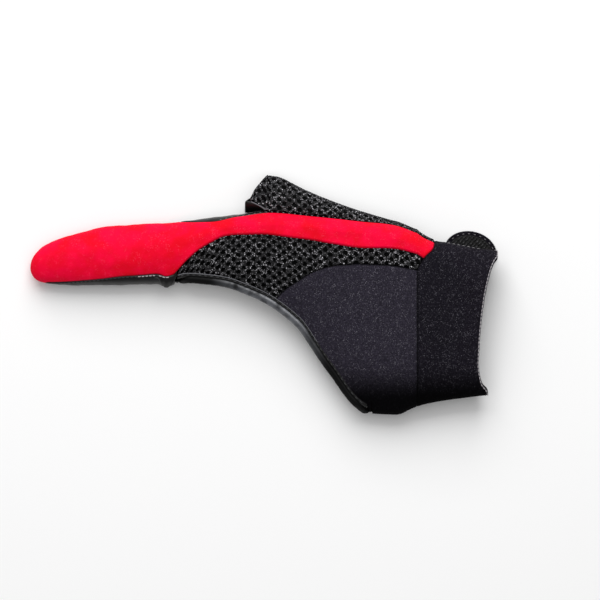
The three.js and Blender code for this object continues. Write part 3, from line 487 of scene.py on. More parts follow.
class GloveForm:
    """The hand's tube and the thumb's sleeve, from the same tables as the frame."""

    def __init__(self) -> None:
        """Builds the three tables of sections."""
        at = np.unique(
            np.concatenate([TIP + 0.3 * np.linspace(0, 1, 160) ** 2, np.linspace(0.3, 3, 1300)])
        )
        self.hand = self._hand(at)
        self.strip_radial = self.hand.edge(seam_curve(STRIP_RADIAL_EDGE)(at))
        self.sleeve = self._thumb(np.linspace(1.3, CROTCH - 1e-6, 90), alone=True)
        self.root = self._thumb(np.linspace(CROTCH, 2.3, 420), alone=False)

    def curve(self, column: str, unit: str = "") -> Curve:
        """Returns a column of the hand's table, times its zone's width or height."""
        value = [getattr(r, column) * (getattr(r.zone, unit) if unit else 1) for r in TUBE]
        return Curve([r.at for r in TUBE], value)

    def sides(self, at: Array) -> dict[str, Array]:
        """Works out the hand's sections.

        Args:
            at: Stations.

        Returns:
            Their named sizes.
        """
        crest = SWEEP * self.curve("crest")(at)
        pucker = PUCKER * hump(at, PUCKER_PLACE, PUCKER_REACH)
        radial = crest + self.curve("radial", "width")(at)
        ulnar = crest - self.curve("ulnar", "width")(at) - pucker
        floor = CUFF_LIFT * smooth(at, 1.93, 2.08) + self.curve("tip", "height")(at)
        top = self.curve("top", "height")(at)
        rise = top - floor
        return {
            "crest": crest,
            "radial": radial,
            "ulnar": ulnar,
            "floor": floor,
            "top": top,
            "radial_side": floor + rise * self.curve("radial_side")(at),
            "ulnar_side": floor + rise * self.curve("ulnar_side")(at),
            "radial_round": self.curve("radial_round", "width")(at),
            "ulnar_round": self.curve("ulnar_round", "width")(at),
        }

    def _hand(self, at: Array) -> Sections:
        """Draws the closed sections of the hand.

        Args:
            at: Stations.

        Returns:
            The sections.
        """
        e = self.sides(at)
        keep = 1 - QUARTER
        crest, ulnar = pair(e["crest"], e["top"]), pair(e["ulnar"], e["ulnar_side"])
        radial = pair(e["radial"], e["radial_side"])
        reach = (e["crest"] - e["ulnar"], e["radial"] - e["crest"])
        rise = (e["top"] - e["ulnar_side"], e["top"] - e["radial_side"])
        up = pair(e["ulnar"], e["ulnar_side"] + side_handle(reach[0], rise[0]) * rise[0])
        first = bezier(
            ulnar, up, pair(e["crest"] - QUARTER * reach[0], e["top"]), crest, ARC_STEPS * 2
        )
        down = pair(e["radial"], e["radial_side"] + side_handle(reach[1], rise[1]) * rise[1])
        second = bezier(
            crest, pair(e["crest"] + QUARTER * reach[1], e["top"]), down, radial, ARC_STEPS
        )
        radial_floor = pair(e["radial"] - e["radial_round"], e["floor"])
        drop = e["radial_side"] - e["floor"]
        third = bezier(
            radial,
            pair(e["radial"], e["radial_side"] - QUARTER * drop),
            pair(e["radial"] - e["radial_round"] * keep, e["floor"]),
            radial_floor,
            ARC_STEPS,
        )
        ulnar_floor = pair(e["ulnar"] + e["ulnar_round"], e["floor"])
        t = (np.arange(1, FLOOR_STEPS + 1) / FLOOR_STEPS)[None, :, None]
        flat = radial_floor[:, None] * (1 - t) + ulnar_floor[:, None] * t
        drop = e["ulnar_side"] - e["floor"]
        last = bezier(
            ulnar_floor,
            pair(e["ulnar"] + e["ulnar_round"] * keep, e["floor"]),
            pair(e["ulnar"], e["ulnar_side"] - QUARTER * drop),
            ulnar,
            ARC_STEPS,
        )
        points = np.concatenate([ulnar[:, None], first, second, third, flat, last], axis=1)
        side = 3 * ARC_STEPS
        share = (points[..., 0] - e["ulnar"][:, None]) / (e["radial"] - e["ulnar"])[:, None]
        plan = np.concatenate([share[:, : side + 1], 2 - share[:, side + 1 :]], axis=1)
        plan[:, 0], plan[:, side], plan[:, -1] = 0, 1, 2
        plan = np.maximum.accumulate(plan, axis=1)
        return Sections(at, points, plan, True, {"side": side, "floor": 4 * ARC_STEPS})

    def _thumb(self, at: Array, alone: bool) -> Sections:
        """Draws the thumb's sections: closed ones before the crotch, open ones past it.

        Args:
            at: Stations.
            alone: Whether the thumb stands by itself there, before the crotch.

        Returns:
            The sections.
        """
        e = self.sides(at)
        edge = self.strip_radial(at)
        start = self.hand.point(at, edge)[:, 1:]
        before = self.hand.point(at, edge - 0.5)[:, 1:]
        column = {
            name: Curve([r.at for r in THUMB], [getattr(r, name) for r in THUMB])(at)
            for name in ("spread", "seam", "top", "round")
        }
        spread = column["spread"] * THUMB_SPREAD
        height = start[:, 1] * column["top"]
        outer = e["radial"] + spread
        blend = smooth(column["spread"], 0, 0.5)
        side = e["radial_side"] * (1 - blend) + 0.43 * height * blend
        inner = e["radial"] + CROTCH_GAP
        crest = start
        if alone:
            seam = start[:, 0] + column["seam"] * THUMB_SPREAD
            crest = pair(np.maximum(seam, inner + 0.6), height)
        reach, rise = outer - crest[:, 0], crest[:, 1] - side
        delta = start - before
        slope = np.arctan2(delta[:, 1], delta[:, 0]) * (1 - blend)
        handle = QUARTER * np.hypot(reach, rise * (1 - blend))
        parts = [crest[:, None]]
        if alone:
            low = pair(inner, side)
            lean = crest[:, 0] + QUARTER * (inner - crest[:, 0])
            up = pair(inner, side + QUARTER * rise)
            parts = [low[:, None], bezier(low, up, pair(lean, crest[:, 1]), crest, ARC_STEPS)]
        crest_mark = sum(p.shape[1] for p in parts) - 1
        pull = crest + pair(handle * np.cos(slope), handle * np.sin(slope))
        down = pair(outer, side + side_handle(reach, rise) * rise)
        parts.append(bezier(crest, pull, down, pair(outer, side), ARC_STEPS))
        side_mark = crest_mark + ARC_STEPS
        rounding = e["radial_round"] * (1 - blend) + THUMB_FLOOR_ROUND * blend
        floor = pair(outer - rounding, e["floor"])
        drop = side - e["floor"]
        lower = pair(outer - rounding * (1 - QUARTER), e["floor"])
        under = pair(outer, side - QUARTER * drop)
        parts.append(bezier(pair(outer, side), under, lower, floor, ARC_STEPS))
        inner_round = column["round"] * THUMB_FLOOR_ROUND
        width = e["radial"] - e["ulnar"]
        palm = e["radial"] - (seam_curve(THENAR_SEAM)(at) - 1) * width
        end = pair(inner + inner_round if alone else palm, e["floor"])
        t = (np.arange(1, FLOOR_STEPS + 1) / FLOOR_STEPS)[None, :, None]
        parts.append(floor[:, None] * (1 - t) + end[:, None] * t)
        floor_mark = side_mark + ARC_STEPS + FLOOR_STEPS
        if alone:
            back = pair(inner + inner_round * (1 - QUARTER), e["floor"])
            low = pair(inner, side)
            parts.append(bezier(end, back, pair(inner, side - QUARTER * drop), low, ARC_STEPS))
        points = np.concatenate(parts, axis=1)
        origin = inner if alone else e["ulnar"]
        share = (points[..., 0] - origin[:, None]) / (outer - origin)[:, None]
        plan = np.concatenate([share[:, : side_mark + 1], 2 - share[:, side_mark + 1 :]], axis=1)
        marks = {"crest": crest_mark, "side": side_mark, "floor": floor_mark}
        marks["whole"] = points.shape[1] - 1
        return Sections(at, points, np.maximum.accumulate(plan, axis=1), alone, marks)

    def edge(self, knots: Sequence[Knot], turn: float = 0.0) -> Line:
        """Returns the lengths by station of a seam, its places across moved on by turn."""
        return self.hand.edge(seam_curve(knots)(self.hand.at) + turn)


def at_station(value: float) -> Line:
    """Returns a line that stands at one station."""
    return lambda place: np.full_like(np.asarray(place, float), value)


def one_turn(place: Array) -> Array:
    """Brings a place across into one turn from a little past the little-finger side."""
    turned = np.mod(place, 2)
    return np.where(turned > 1.9, turned - 2, turned)


def cuff_seam(setback: float = 0.0) -> Line:
    """Returns the line of the cuff's seam, moved along by a length in millimetres."""
    curve = seam_curve(CUFF_SEAM, even)
    return lambda place: curve(one_turn(place)) + setback / CUFF_LENGTH


def mirrored(knots: Sequence[Knot], setback: float = 0.0) -> Line:
    """Makes a rim's line, the same over the back and along the palm.

    Args:
        knots: The rim's stations by the place across the back.
        setback: How many stations the palm's rim stands back.

    Returns:
        The line.
    """
    curve = seam_curve(knots, even)

    def line(place: Array) -> Array:
        """Returns the rim's station at each place across."""
        turned = np.mod(place, 2)
        return np.where(turned <= 1, curve(turned), curve(2 - turned) - setback)

    return line


@dataclass
class Panel:
    """A grid of points laid on a tube: rows by columns by (x, y, z)."""

    points: Array
    normals: Array = field(init=False)

    def __post_init__(self) -> None:
        """Works out the normals."""
        run = np.gradient(self.points, axis=0)
        over = np.gradient(self.points, axis=1)
        normal = np.cross(run, over)
        length = np.linalg.norm(normal, axis=2, keepdims=True)
        self.normals = np.where(length > 1e-9, normal / np.maximum(length, 1e-9), [-1.0, 0, 0])

    def _walk(self, axis: int) -> Array:
        """Measures along the grid.

        Args:
            axis: 0 to go from row to row, 1 from column to column.

        Returns:
            The distance walked at each point.
        """
        step = np.linalg.norm(np.diff(self.points, axis=axis), axis=2)
        zero = np.zeros_like(np.take(step, [0], axis=axis))
        return np.concatenate([zero, np.cumsum(step, axis=axis)], axis=axis)

    def rows_in(self) -> tuple[Array, Array]:
        """Returns each point's distance from the first and from the last row."""
        walked = self._walk(0)
        return walked, walked[-1:] - walked

    def columns_in(self) -> tuple[Array, Array]:
        """Returns each point's distance from the first and from the last column."""
        walked = self._walk(1)
        return walked, walked[:, -1:] - walked

    def lifted(self, height: Array | float) -> Array:
        """Returns the points moved out along their normals."""
        return self.points + self.normals * np.asarray(height)[..., None]


def lay(
    table: Sections,
    start: Line,
    end: Line,
    low: Line,
    high: Line,
    pitch: float,
    columns: int | None = None,
    rows: int | None = None,
    crowd: float = 1.0,
) -> Panel:
    """Lays a panel on a tube between two lines across it and two along it.

    Args:
        table: The tube's sections.
        start: Stations of its first row, by the place across.
        end: Stations of its last row.
        low: Lengths of its first column, by station.
        high: Lengths of its last column.
        pitch: Distance between points.
        columns: Number of columns, in place of the one that pitch gives.
        rows: Number of rows, in place of the one that pitch gives.
        crowd: Over 1 draws the rows together towards the first one.

    Returns:
        The panel.
    """
    half = np.array([0.5])
    x0, x1 = lengthwise(start(half))[0], lengthwise(end(half))[0]
    rows = rows or max(int(abs(x1 - x0) / pitch) + 2, 3)
    u = (np.linspace(0, 1, rows) ** crowd)[:, None]
    at = station_of(x0 + (x1 - x0) * u)
    if columns is None:
        columns = max(int(np.max(high(at) - low(at)) / pitch) + 2, 3)
    v = np.linspace(0, 1, columns)[None, :]
    at = np.broadcast_to(at, (rows, columns))
    for _ in range(7):
        length = low(at) * (1 - v) + high(at) * v
        place = table.place(at, length)
        x = lengthwise(start(place)) * (1 - u) + lengthwise(end(place)) * u
        at = station_of(x)
    return Panel(table.point(at, low(at) * (1 - v) + high(at) * v))


RUMPLE_WAVES = 7


def rumple(points: Array, size: float, seed: int) -> Array:
    """Makes a slow, even unevenness.

    Args:
        points: Points in millimetres.
        size: Distance from one swell to the next.
        seed: Which pattern.

    Returns:
        About -1 to 1 at each point.
    """
    rng = np.random.default_rng(seed)
    total = np.zeros(points.shape[:-1])
    for _ in range(RUMPLE_WAVES):
        direction = rng.normal(size=3)
        direction /= np.linalg.norm(direction)
        wave = 2 * math.pi / (size * rng.uniform(0.7, 1.5))
        total += np.sin(points @ direction * wave + rng.uniform(0, 2 * math.pi))
    return total / 4


class Rim(Enum):
    """Where a shell's border is closed; the value counts the sides left open."""

    ALL = 0
    BEHIND_FRONT = 1
    NONE = 4


def grid_faces(rows: int, columns: int, first: int, flip: bool) -> Array:
    """Makes the four-cornered faces of a grid.

    Args:
        rows: The grid's rows.
        columns: Its columns.
        first: The index of its first point.
        flip: Whether the faces look the other way.

    Returns:
        The faces.
    """
    i = np.arange(rows * columns).reshape(rows, columns) + first
    a, b, c, d = i[:-1, :-1], i[1:, :-1], i[1:, 1:], i[:-1, 1:]
    order = (a, d, c, b) if flip else (a, b, c, d)
    return np.stack(order, axis=-1).reshape(-1, 4)


def rim_faces(rows: int, columns: int, other: int, rim: Rim) -> list[Array]:
    """Makes the faces that join a grid's border to its inner copy.

    Args:
        rows: The grid's rows.
        columns: The grid's columns.
        other: The index of the inner copy's first point.
        rim: Which sides are closed.

    Returns:
        The faces of each side.
    """
    i = np.arange(rows * columns).reshape(rows, columns)
    faces = []
    for line in (i[0, ::-1], i[:, 0], i[-1, :], i[::-1, -1])[rim.value :]:
        a, b = line[:-1], line[1:]
        faces.append(np.stack([b, a, a + other, b + other], axis=-1))
    return faces


# No cord runs this way, so its sides can be measured from it.
ASKEW = (0.31, 0.52, 0.79)
# An even number, so that a cord's ends can be closed with four-cornered faces.
CORD_SIDES = 8


def linked(name: str, data: Any) -> Thing:
    """Makes an object.

    Args:
        name: Its name.
        data: Its mesh, light or camera.

    Returns:
        The object, linked to the scene.
    """
    thing = bpy.data.objects.new(name, data)
    bpy.context.scene.collection.objects.link(thing)
    return thing


@dataclass
class Solid:
    """Vertices and faces on their way to becoming one object."""

    vertices: list[Array] = field(default_factory=list)
    faces: list[Array] = field(default_factory=list)
    values: dict[str, list[Array]] = field(default_factory=dict)

    def _count(self) -> int:
        """Returns how many vertices there are."""
        return sum(len(v) for v in self.vertices)

    def add(self, points: Array, faces: Array, **values: Array) -> None:
        """Adds a piece of mesh.

        Args:
            points: Its points.
            faces: Its faces, which count from the first of the points.
            values: Named values on the points; what is not given is 0.
        """
        first = self._count()
        self.vertices.append(points.reshape(-1, 3))
        self.faces.append(faces + first)
        for name in set(self.values) | set(values):
            known = self.values.setdefault(name, [np.zeros(first)] if first else [])
            known.append(np.ravel(values.get(name, np.zeros(len(points.reshape(-1, 3))))))

    def add_shell(
        self, outer: Array, inner: Array, rim: Rim = Rim.ALL, **values: Array
    ) -> None:
        """Adds a wall between two grids of the same size.

        Args:
            outer: The points of its outer face.
            inner: The points of its inner face.
            rim: Where its border is closed.
            values: Named values on the grid.
        """
        rows, columns = outer.shape[:2]
        count = rows * columns
        faces = np.concatenate(
            [
                grid_faces(rows, columns, 0, False),
                grid_faces(rows, columns, count, True),
                *rim_faces(rows, columns, count, rim),
            ]
        )
        doubled = {name: np.concatenate([np.ravel(v), np.ravel(v)]) for name, v in values.items()}
        self.add(np.concatenate([outer.reshape(-1, 3), inner.reshape(-1, 3)]), faces, **doubled)

    def add_sheet(self, outer: Array, skirt: Array, **values: Array) -> None:
        """Adds a grid with its border turned down.

        Args:
            outer: The grid's points.
            skirt: The grid that the border is turned down to.
            values: Named values on the grid.
        """
        rows, columns = outer.shape[:2]
        i = np.arange(rows * columns).reshape(rows, columns)
        border = np.concatenate([i[0, ::-1], i[1:, 0], i[-1, 1:], i[-2:0:-1, -1], i[:1, -1]])
        a, b = border[:-1], border[1:]
        n = rows * columns + np.arange(len(border))
        faces = np.stack([b, a, n[:-1], n[1:]], axis=-1)
        points = np.concatenate([outer.reshape(-1, 3), skirt.reshape(-1, 3)[border]])
        full = {
            name: np.concatenate([np.ravel(v), np.ravel(v)[border]]) for name, v in values.items()
        }
        self.add(points, np.concatenate([grid_faces(rows, columns, 0, False), faces]), **full)

    def add_tube(self, path: Array, radius: Array | float) -> None:
        """Adds a round cord with closed ends.

        Args:
            path: Its middle line.
            radius: Its radius, or the radius at each point of the path.
        """
        sides = CORD_SIDES
        run = unit(np.gradient(path, axis=0))
        side = unit(np.cross(run, ASKEW))
        up = np.cross(side, run)
        angle = np.linspace(0, 2 * math.pi, sides, endpoint=False)
        wide, tall = np.cos(angle)[None, :, None], np.sin(angle)[None, :, None]
        ring = side[:, None] * wide + up[:, None] * tall
        points = path[:, None] + np.broadcast_to(radius, len(path))[:, None, None] * ring
        count = len(path)
        i = np.arange(count * sides).reshape(count, sides)
        i, n = i[:-1], i[1:]
        right = np.roll(i, -1, axis=1), np.roll(n, -1, axis=1)
        faces = np.stack([i, right[0], right[1], n], axis=-1).reshape(-1, 4)[:, ::-1]
        k = np.arange(sides // 2 - 1)
        cap = np.stack([k, k + 1, sides - 2 - k, sides - 1 - k], axis=-1)
        faces = np.concatenate([faces, cap, cap[:, ::-1] + (count - 1) * sides])
        self.add(points, faces)

    def build(self, name: str, weld: float = 0.0) -> Thing:
        """Makes the object.

        Args:
            name: The object's name.
            weld: Joins vertices nearer than this, in millimetres.

        Returns:
            The object, linked to the scene.
        """
        vertices = (np.concatenate(self.vertices) + FRAME_SHIFT) * MM
        faces = np.concatenate(self.faces)
        mesh = bpy.data.meshes.new(name)
        mesh.vertices.add(len(vertices))
        mesh.vertices.foreach_set("co", vertices.astype(np.float32).ravel())
        mesh.loops.add(faces.size)
        mesh.loops.foreach_set("vertex_index", faces.astype(np.int32).ravel())
        mesh.polygons.add(len(faces))
        starts = np.arange(0, faces.size, faces.shape[1], dtype=np.int32)
        mesh.polygons.foreach_set("loop_start", starts)
        mesh.update(calc_edges=True)
        for key, parts in self.values.items():
            layer = mesh.attributes.new(key, "FLOAT", "POINT")
            layer.data.foreach_set("value", np.concatenate(parts).astype(np.float32))
        if weld:
            work = bmesh.new()
            work.from_mesh(mesh)
            bmesh.ops.remove_doubles(work, verts=work.verts, dist=weld * MM)
            bmesh.ops.dissolve_degenerate(work, edges=work.edges, dist=1e-7)
            work.to_mesh(mesh)
            work.free()
        mesh.validate()
        mesh.shade_smooth()
        return linked(name, mesh)


class Socket:
    """A shader's output that takes part in Python arithmetic."""

    def __init__(self, shader: "Shader", link: Any) -> None:
        """Keeps the shader and the node socket."""
        self.shader, self.link = shader, link

    def _math(self, operation: str, one: Any, two: Any) -> "Socket":
        """Adds a Math node."""
        return self.shader.node("ShaderNodeMath", {"operation": operation}, {0: one, 1: two})

    def __add__(self, other: Any) -> "Socket":
        """Adds."""
        return self._math("ADD", self, other)

    def __radd__(self, other: Any) -> "Socket":
        """Adds, reflected."""
        return self._math("ADD", other, self)

    def __sub__(self, other: Any) -> "Socket":
        """Subtracts."""
        return self._math("SUBTRACT", self, other)

    def __rsub__(self, other: Any) -> "Socket":
        """Subtracts, reflected."""
        return self._math("SUBTRACT", other, self)

    def __mul__(self, other: Any) -> "Socket":
        """Multiplies."""
        return self._math("MULTIPLY", self, other)

    def __rmul__(self, other: Any) -> "Socket":
        """Multiplies, reflected."""
        return self._math("MULTIPLY", other, self)

    def __pow__(self, other: Any) -> "Socket":
        """Raises to a power."""
        return self._math("POWER", self, other)

    def between(self, low: float, high: float) -> "Socket":
        """Steps smoothly from 0 to 1.

        Args:
            low: Where the step starts.
            high: Where it ends.

        Returns:
            The step.
        """
        settings = {"interpolation_type": "SMOOTHSTEP"}
        return self.shader.node(
            "ShaderNodeMapRange", settings, {0: self, 1: low, 2: high, 3: 0.0, 4: 1.0}
        )


class Shader:
    """The node tree of one finish."""

    def __init__(self, name: str) -> None:
        """Makes an empty material.

        Args:
            name: The material's name.
        """
        self.material = bpy.data.materials.new(name)
        self.material.use_nodes = True
        self.tree = self.material.node_tree
        self.tree.nodes.clear()

    def node(
        self, kind: str, settings: dict[str, Any], inputs: dict[Any, Any], output: Any = 0
    ) -> Socket:
        """Adds a node.

        Args:
            kind: The node's type.
            settings: Its own settings, set before its sockets.
            inputs: Values or links by the socket's name or number.
            output: The output that is wanted.

        Returns:
            The output, ready for arithmetic.
        """
        made = self.tree.nodes.new(kind)
        for key, value in settings.items():
            setattr(made, key, value)
        for key, value in inputs.items():
            if isinstance(value, Socket):
                self.tree.links.new(value.link, made.inputs[key])
            else:
                made.inputs[key].default_value = value
        return Socket(self, None if output is None else made.outputs[output])

    def coordinates(self) -> Socket:
        """Returns the object's own coordinates, in metres."""
        return self.node("ShaderNodeTexCoord", {}, {}, "Object")

    def noise(self, size: float, detail: float = 2.0, roughness: float = 0.5) -> Socket:
        """Adds cloudy noise.

        Args:
            size: About the size of its blots, in millimetres.
            detail: How many finer layers it has.
            roughness: How strong the finer layers are.

        Returns:
            The noise, about 0 to 1.
        """
        inputs = {
            "Vector": self.coordinates(), "Scale": 1 / (size * MM),
            "Detail": detail, "Roughness": roughness,
        }
        return self.node("ShaderNodeTexNoise", {}, inputs, 0)

    def cells(self, size: float, output: str = "Distance") -> Socket:
        """Returns the distance, or a random Color, inside cells of about size millimetres."""
        inputs = {"Vector": self.coordinates(), "Scale": 1 / (size * MM)}
        return self.node("ShaderNodeTexVoronoi", {}, inputs, output)

    def painted_sparks(self, size: float, rarity: float) -> Socket:
        """Returns bright dots, one in some of the cells, for painted glints.

        Args:
            size: Size of a cell in millimetres.
            rarity: From 0, a dot in most cells, to 1, in none.

        Returns:
            1 on a dot and 0 beside it.
        """
        chosen = self.cells(size, "Color").between(rarity, rarity + 0.3)
        return self.cells(size).between(0.42, 0.16) * chosen

    def attribute(self, name: str) -> Socket:
        """Returns a value kept on the mesh."""
        return self.node("ShaderNodeAttribute", {"attribute_name": name}, {}, "Fac")

    def mix(self, share: Any, one: Any, two: Any) -> Socket:
        """Mixes two colours.

        Args:
            share: The share of the second.
            one: The first.
            two: The second.

        Returns:
            The mixed colour.
        """
        made = self.tree.nodes.new("ShaderNodeMix")
        made.data_type = "RGBA"
        for index, value in ((0, share), (6, one), (7, two)):
            if isinstance(value, Socket):
                self.tree.links.new(value.link, made.inputs[index])
            else:
                made.inputs[index].default_value = value
        return Socket(self, made.outputs[2])

    def bump(self, height: Socket, distance: float, strength: float = 1.0) -> Socket:
        """Returns the normal of a relief whose height of 1 is distance millimetres."""
        inputs = {"Height": height, "Distance": distance * MM, "Strength": strength}
        return self.node("ShaderNodeBump", {}, inputs)

    def finish(self, **inputs: Any) -> Material:
        """Adds the surface.

        Args:
            inputs: Its sockets, spaces written as underscores.

        Returns:
            The material.
        """
        sockets = {key.replace("_", " "): value for key, value in inputs.items()}
        surface = self.node("ShaderNodeBsdfPrincipled", {}, sockets, "BSDF")
        self.node("ShaderNodeOutputMaterial", {}, {"Surface": surface}, None)
        return self.material


Colour = tuple[float, float, float, float]


def grey(value: float, tint: float = 1.04) -> Colour:
    """Returns a grey, a little blue where tint is over 1."""
    return (value, value / tint**0.5, value * tint, 1.0)


@dataclass(frozen=True)
class StretchFabric:
    """Fine red knit over the index finger, with painted glints in its colour."""

    name: str = "red_stretch_knit"
    bright: Colour = (0.92, 0.0012, 0.044, 1.0)
    deep: Colour = (0.76, 0.001, 0.014, 1.0)
    painted_spark: Colour = (1.0, 0.08, 0.16, 1.0)
    seam: Colour = (0.16, 0.002, 0.008, 1.0)

    def material(self) -> Material:
        """Makes the material.

        Returns:
            The material.
        """
        s = Shader(self.name)
        cloud = s.noise(size=11, detail=3)
        knit = s.noise(size=0.6, roughness=0.65)
        patch = s.noise(size=4, roughness=0.7).between(0.4, 0.7)
        # Painted glints: small bright dots mixed into the red.
        painted_spark = s.painted_sparks(size=0.62, rarity=0.3) * patch
        seam = s.attribute("seam").between(0.0, 0.9)
        colour = s.mix(cloud.between(0.3, 0.7), self.deep, self.bright)
        colour = s.mix(knit.between(0.35, 0.7) * 0.3, colour, self.deep)
        colour = s.mix(painted_spark * 0.6, colour, self.painted_spark)
        colour = s.mix((1 - seam) * 0.7, colour, self.seam)
        return s.finish(
            Base_Color=colour,
            Roughness=0.66 + knit * 0.14,
            Normal=s.bump(knit, distance=0.12, strength=0.5),
            Specular_IOR_Level=0.06,
        )


@dataclass(frozen=True)
class Neoprene:
    """Foam with a black knit face, with painted glints in its colour and painted shade towards the
    little finger's side.
    """

    name: str
    shade: float
    painted_sparks: float

    def material(self) -> Material:
        """Makes the material.

        Returns:
            The material.
        """
        s = Shader(self.name)
        knit = s.noise(size=0.7, roughness=0.65)
        cloud = s.noise(size=16)
        patch = s.noise(size=2.2, roughness=0.7).between(0.34, 0.68)
        # Painted glints: small pale dots mixed into the black knit.
        painted_spark = s.painted_sparks(size=0.66, rarity=0.16) * patch
        seam = s.attribute("seam").between(0.0, 1.1)
        colour = s.mix(cloud, grey(self.shade * 0.7, 1.3), grey(self.shade, 1.3))
        colour = s.mix(knit.between(0.35, 0.75) * 0.7, colour, grey(self.shade * 2.6, 1.3))
        colour = s.mix(painted_spark * self.painted_sparks, colour, grey(0.24, 1.1))
        # Painted shade: the turned value darkens the knit towards the little finger's side.
        colour = s.mix(s.attribute("turned") * 0.95, colour, grey(0.0005))
        colour = s.mix((1 - seam) * 0.6, colour, grey(0.002))
        return s.finish(
            Base_Color=colour,
            Roughness=0.74 + knit * 0.16,
            Normal=s.bump(knit, distance=0.14, strength=0.7),
            Specular_IOR_Level=0.025,
        )


def leather_grain(s: Shader) -> tuple[Socket, Socket]:
    """Returns leather's slow unevenness, and the normal of its close grain."""
    cloud = s.noise(size=6, detail=3)
    return cloud, s.bump(s.cells(size=0.8) * 0.5 + cloud, distance=0.08, strength=0.45)


@dataclass(frozen=True)
class SoftLeather:
    """Thin black synthetic leather with a close grain."""

    name: str = "black_synthetic_leather"
    shade: float = 0.0028
    gloss: float = 0.34
    shine: float = 0.3

    def material(self) -> Material:
        """Makes the material.

        Returns:
            The material.
        """
        s = Shader(self.name)
        cloud, grain = leather_grain(s)
        seam = s.attribute("seam").between(0.0, 0.8)
        colour = s.mix(cloud, grey(self.shade * 0.7), grey(self.shade * 1.5))
        colour = s.mix((1 - seam) * 0.4, colour, grey(0.001))
        return s.finish(
            Base_Color=colour,
            Roughness=self.gloss + cloud * 0.16,
            Normal=grain,
            Specular_IOR_Level=self.shine,
        )


@dataclass(frozen=True)
class RolledLeather:
    """Leather rolled over a cord, glossier where the other fingers rub it, with a painted highlight
    lightening its colour there.
    """

    name: str = "black_leather_roll"
    painted_highlight: Colour = (0.1, 0.105, 0.12, 1.0)
    dull: Colour = (0.0015, 0.0015, 0.0016, 1.0)

    def material(self) -> Material:
        """Makes the material.

        Returns:
            The material.
        """
        s = Shader(self.name)
        cloud, grain = leather_grain(s)
        # The mask gives the coat its gloss and also paints a highlight into the colour.
        polish = s.attribute("polish") * cloud.between(0.2, 0.6)
        return s.finish(
            Base_Color=s.mix(polish, self.dull, self.painted_highlight),
            Roughness=0.55 + cloud * 0.14,
            Coat_Weight=polish,
            Coat_Roughness=0.36,
            Coat_IOR=1.8,
            Normal=grain,
            Specular_IOR_Level=0.12,
        )


@dataclass(frozen=True)
class OpenMesh:
    """Knitted black mesh: glossy threads round open cells, with painted glints on the threads and
    painted shade in the cells.
    """

    name: str = "black_open_mesh"

    def material(self) -> Material:
        """Makes the material.

        Returns:
            The material.
        """
        s = Shader(self.name)
        thread = s.attribute("thread")
        twist = s.noise(size=0.9, roughness=0.7)
        # Painted glints and sheen: pale spots mixed into the threads' colour.
        painted_sheen = s.noise(size=0.8, detail=1, roughness=0.4).between(0.58, 0.74)
        painted_glint = s.painted_sparks(size=0.8, rarity=0.48) * 0.9 + painted_sheen * 0.4
        patch = s.noise(size=8).between(0.3, 0.65)
        # Painted shade: the sunken cells are painted near black, for the lining seen through them
        # in shade.
        colour = s.mix(thread**2.2, grey(0.0002), grey(0.015))
        colour = s.mix(painted_glint * thread * (patch * 0.7 + 0.3), colour, grey(0.8))
        return s.finish(
            Base_Color=colour,
            Roughness=0.56 - patch * 0.12,
            Normal=s.bump(twist, distance=0.3, strength=0.9),
            Specular_IOR_Level=0.03,
        )


@dataclass(frozen=True)
class Thread:
    """Sewing thread, plied and slightly shiny."""

    name: str
    colour: Colour

    def material(self) -> Material:
        """Makes the material.

        Returns:
            The material.
        """
        s = Shader(self.name)
        ply = s.noise(size=0.5, detail=1)
        dark = tuple(c * 0.5 for c in self.colour[:3]) + (1.0,)
        return s.finish(
            Base_Color=s.mix(ply, dark, self.colour),
            Roughness=0.5 + ply * 0.2,
            Normal=s.bump(ply, distance=0.05),
        )


@dataclass(frozen=True)
class HookTape:
    """Ribbed tape of stiff small hooks, its rib crests painted lighter as a painted highlight."""

    name: str = "black_hook_tape"

    def material(self) -> Material:
        """Makes the material.

        Returns:
            The material.
        """
        s = Shader(self.name)
        rib = s.attribute("thread")
        bristle = s.noise(size=0.7, detail=1, roughness=0.6)
        # Painted highlight: the ribs' crests are painted lighter.
        colour = s.mix(rib * bristle.between(0.4, 0.75), grey(0.0015), grey(0.11))
        return s.finish(
            Base_Color=colour,
            Roughness=0.5 + bristle * 0.2,
            Normal=s.bump(bristle, distance=0.2, strength=0.8),
            Specular_IOR_Level=0.2,
        )


class Slot(Enum):
    """Names of the slots that pieces are passed with; nothing reads them."""

    STRETCH = "red_stretch_fabric"
    MESH = "open_mesh"
    NEOPRENE = "neoprene"
    LEATHER = "synthetic_leather"
    STRAP = "strap_web"
    HOOK = "hook_tape"


class Wardrobe:
    """Makes each finish once and hands it out."""

    def __init__(self) -> None:
        """Makes the materials."""
        self.knit = StretchFabric().material()
        self.back = Neoprene("black_knit_faced_foam", shade=0.0175, painted_sparks=0.6).material()
        cuff = Neoprene("black_knit_faced_foam_cuff", shade=0.007, painted_sparks=0.42)
        self.cuff = cuff.material()
        self.leather = SoftLeather().material()
        self.roll = RolledLeather().material()
        self.strap = Neoprene("black_strap_web", shade=0.005, painted_sparks=0.12).material()
        self.mesh = OpenMesh().material()
        self.lining = Neoprene("black_tricot_lining", shade=0.003, painted_sparks=0.0).material()
        self.hook = HookTape().material()
        self.light_thread = Thread("light_thread", (0.5, 0.46, 0.48, 1)).material()
        self.grey_thread = Thread("grey_thread", (0.2, 0.19, 0.2, 1)).material()
        self.dark_thread = Thread("dark_thread", (0.03, 0.03, 0.032, 1)).material()
        # Pale edge lines: a cut edge's lighter tone and a painted highlight where the edge catches
        # the light.
        self.cut_edge_and_highlight = Thread("cut_edge_and_painted_highlight", (0.16, 0.16, 0.18, 1)).material()


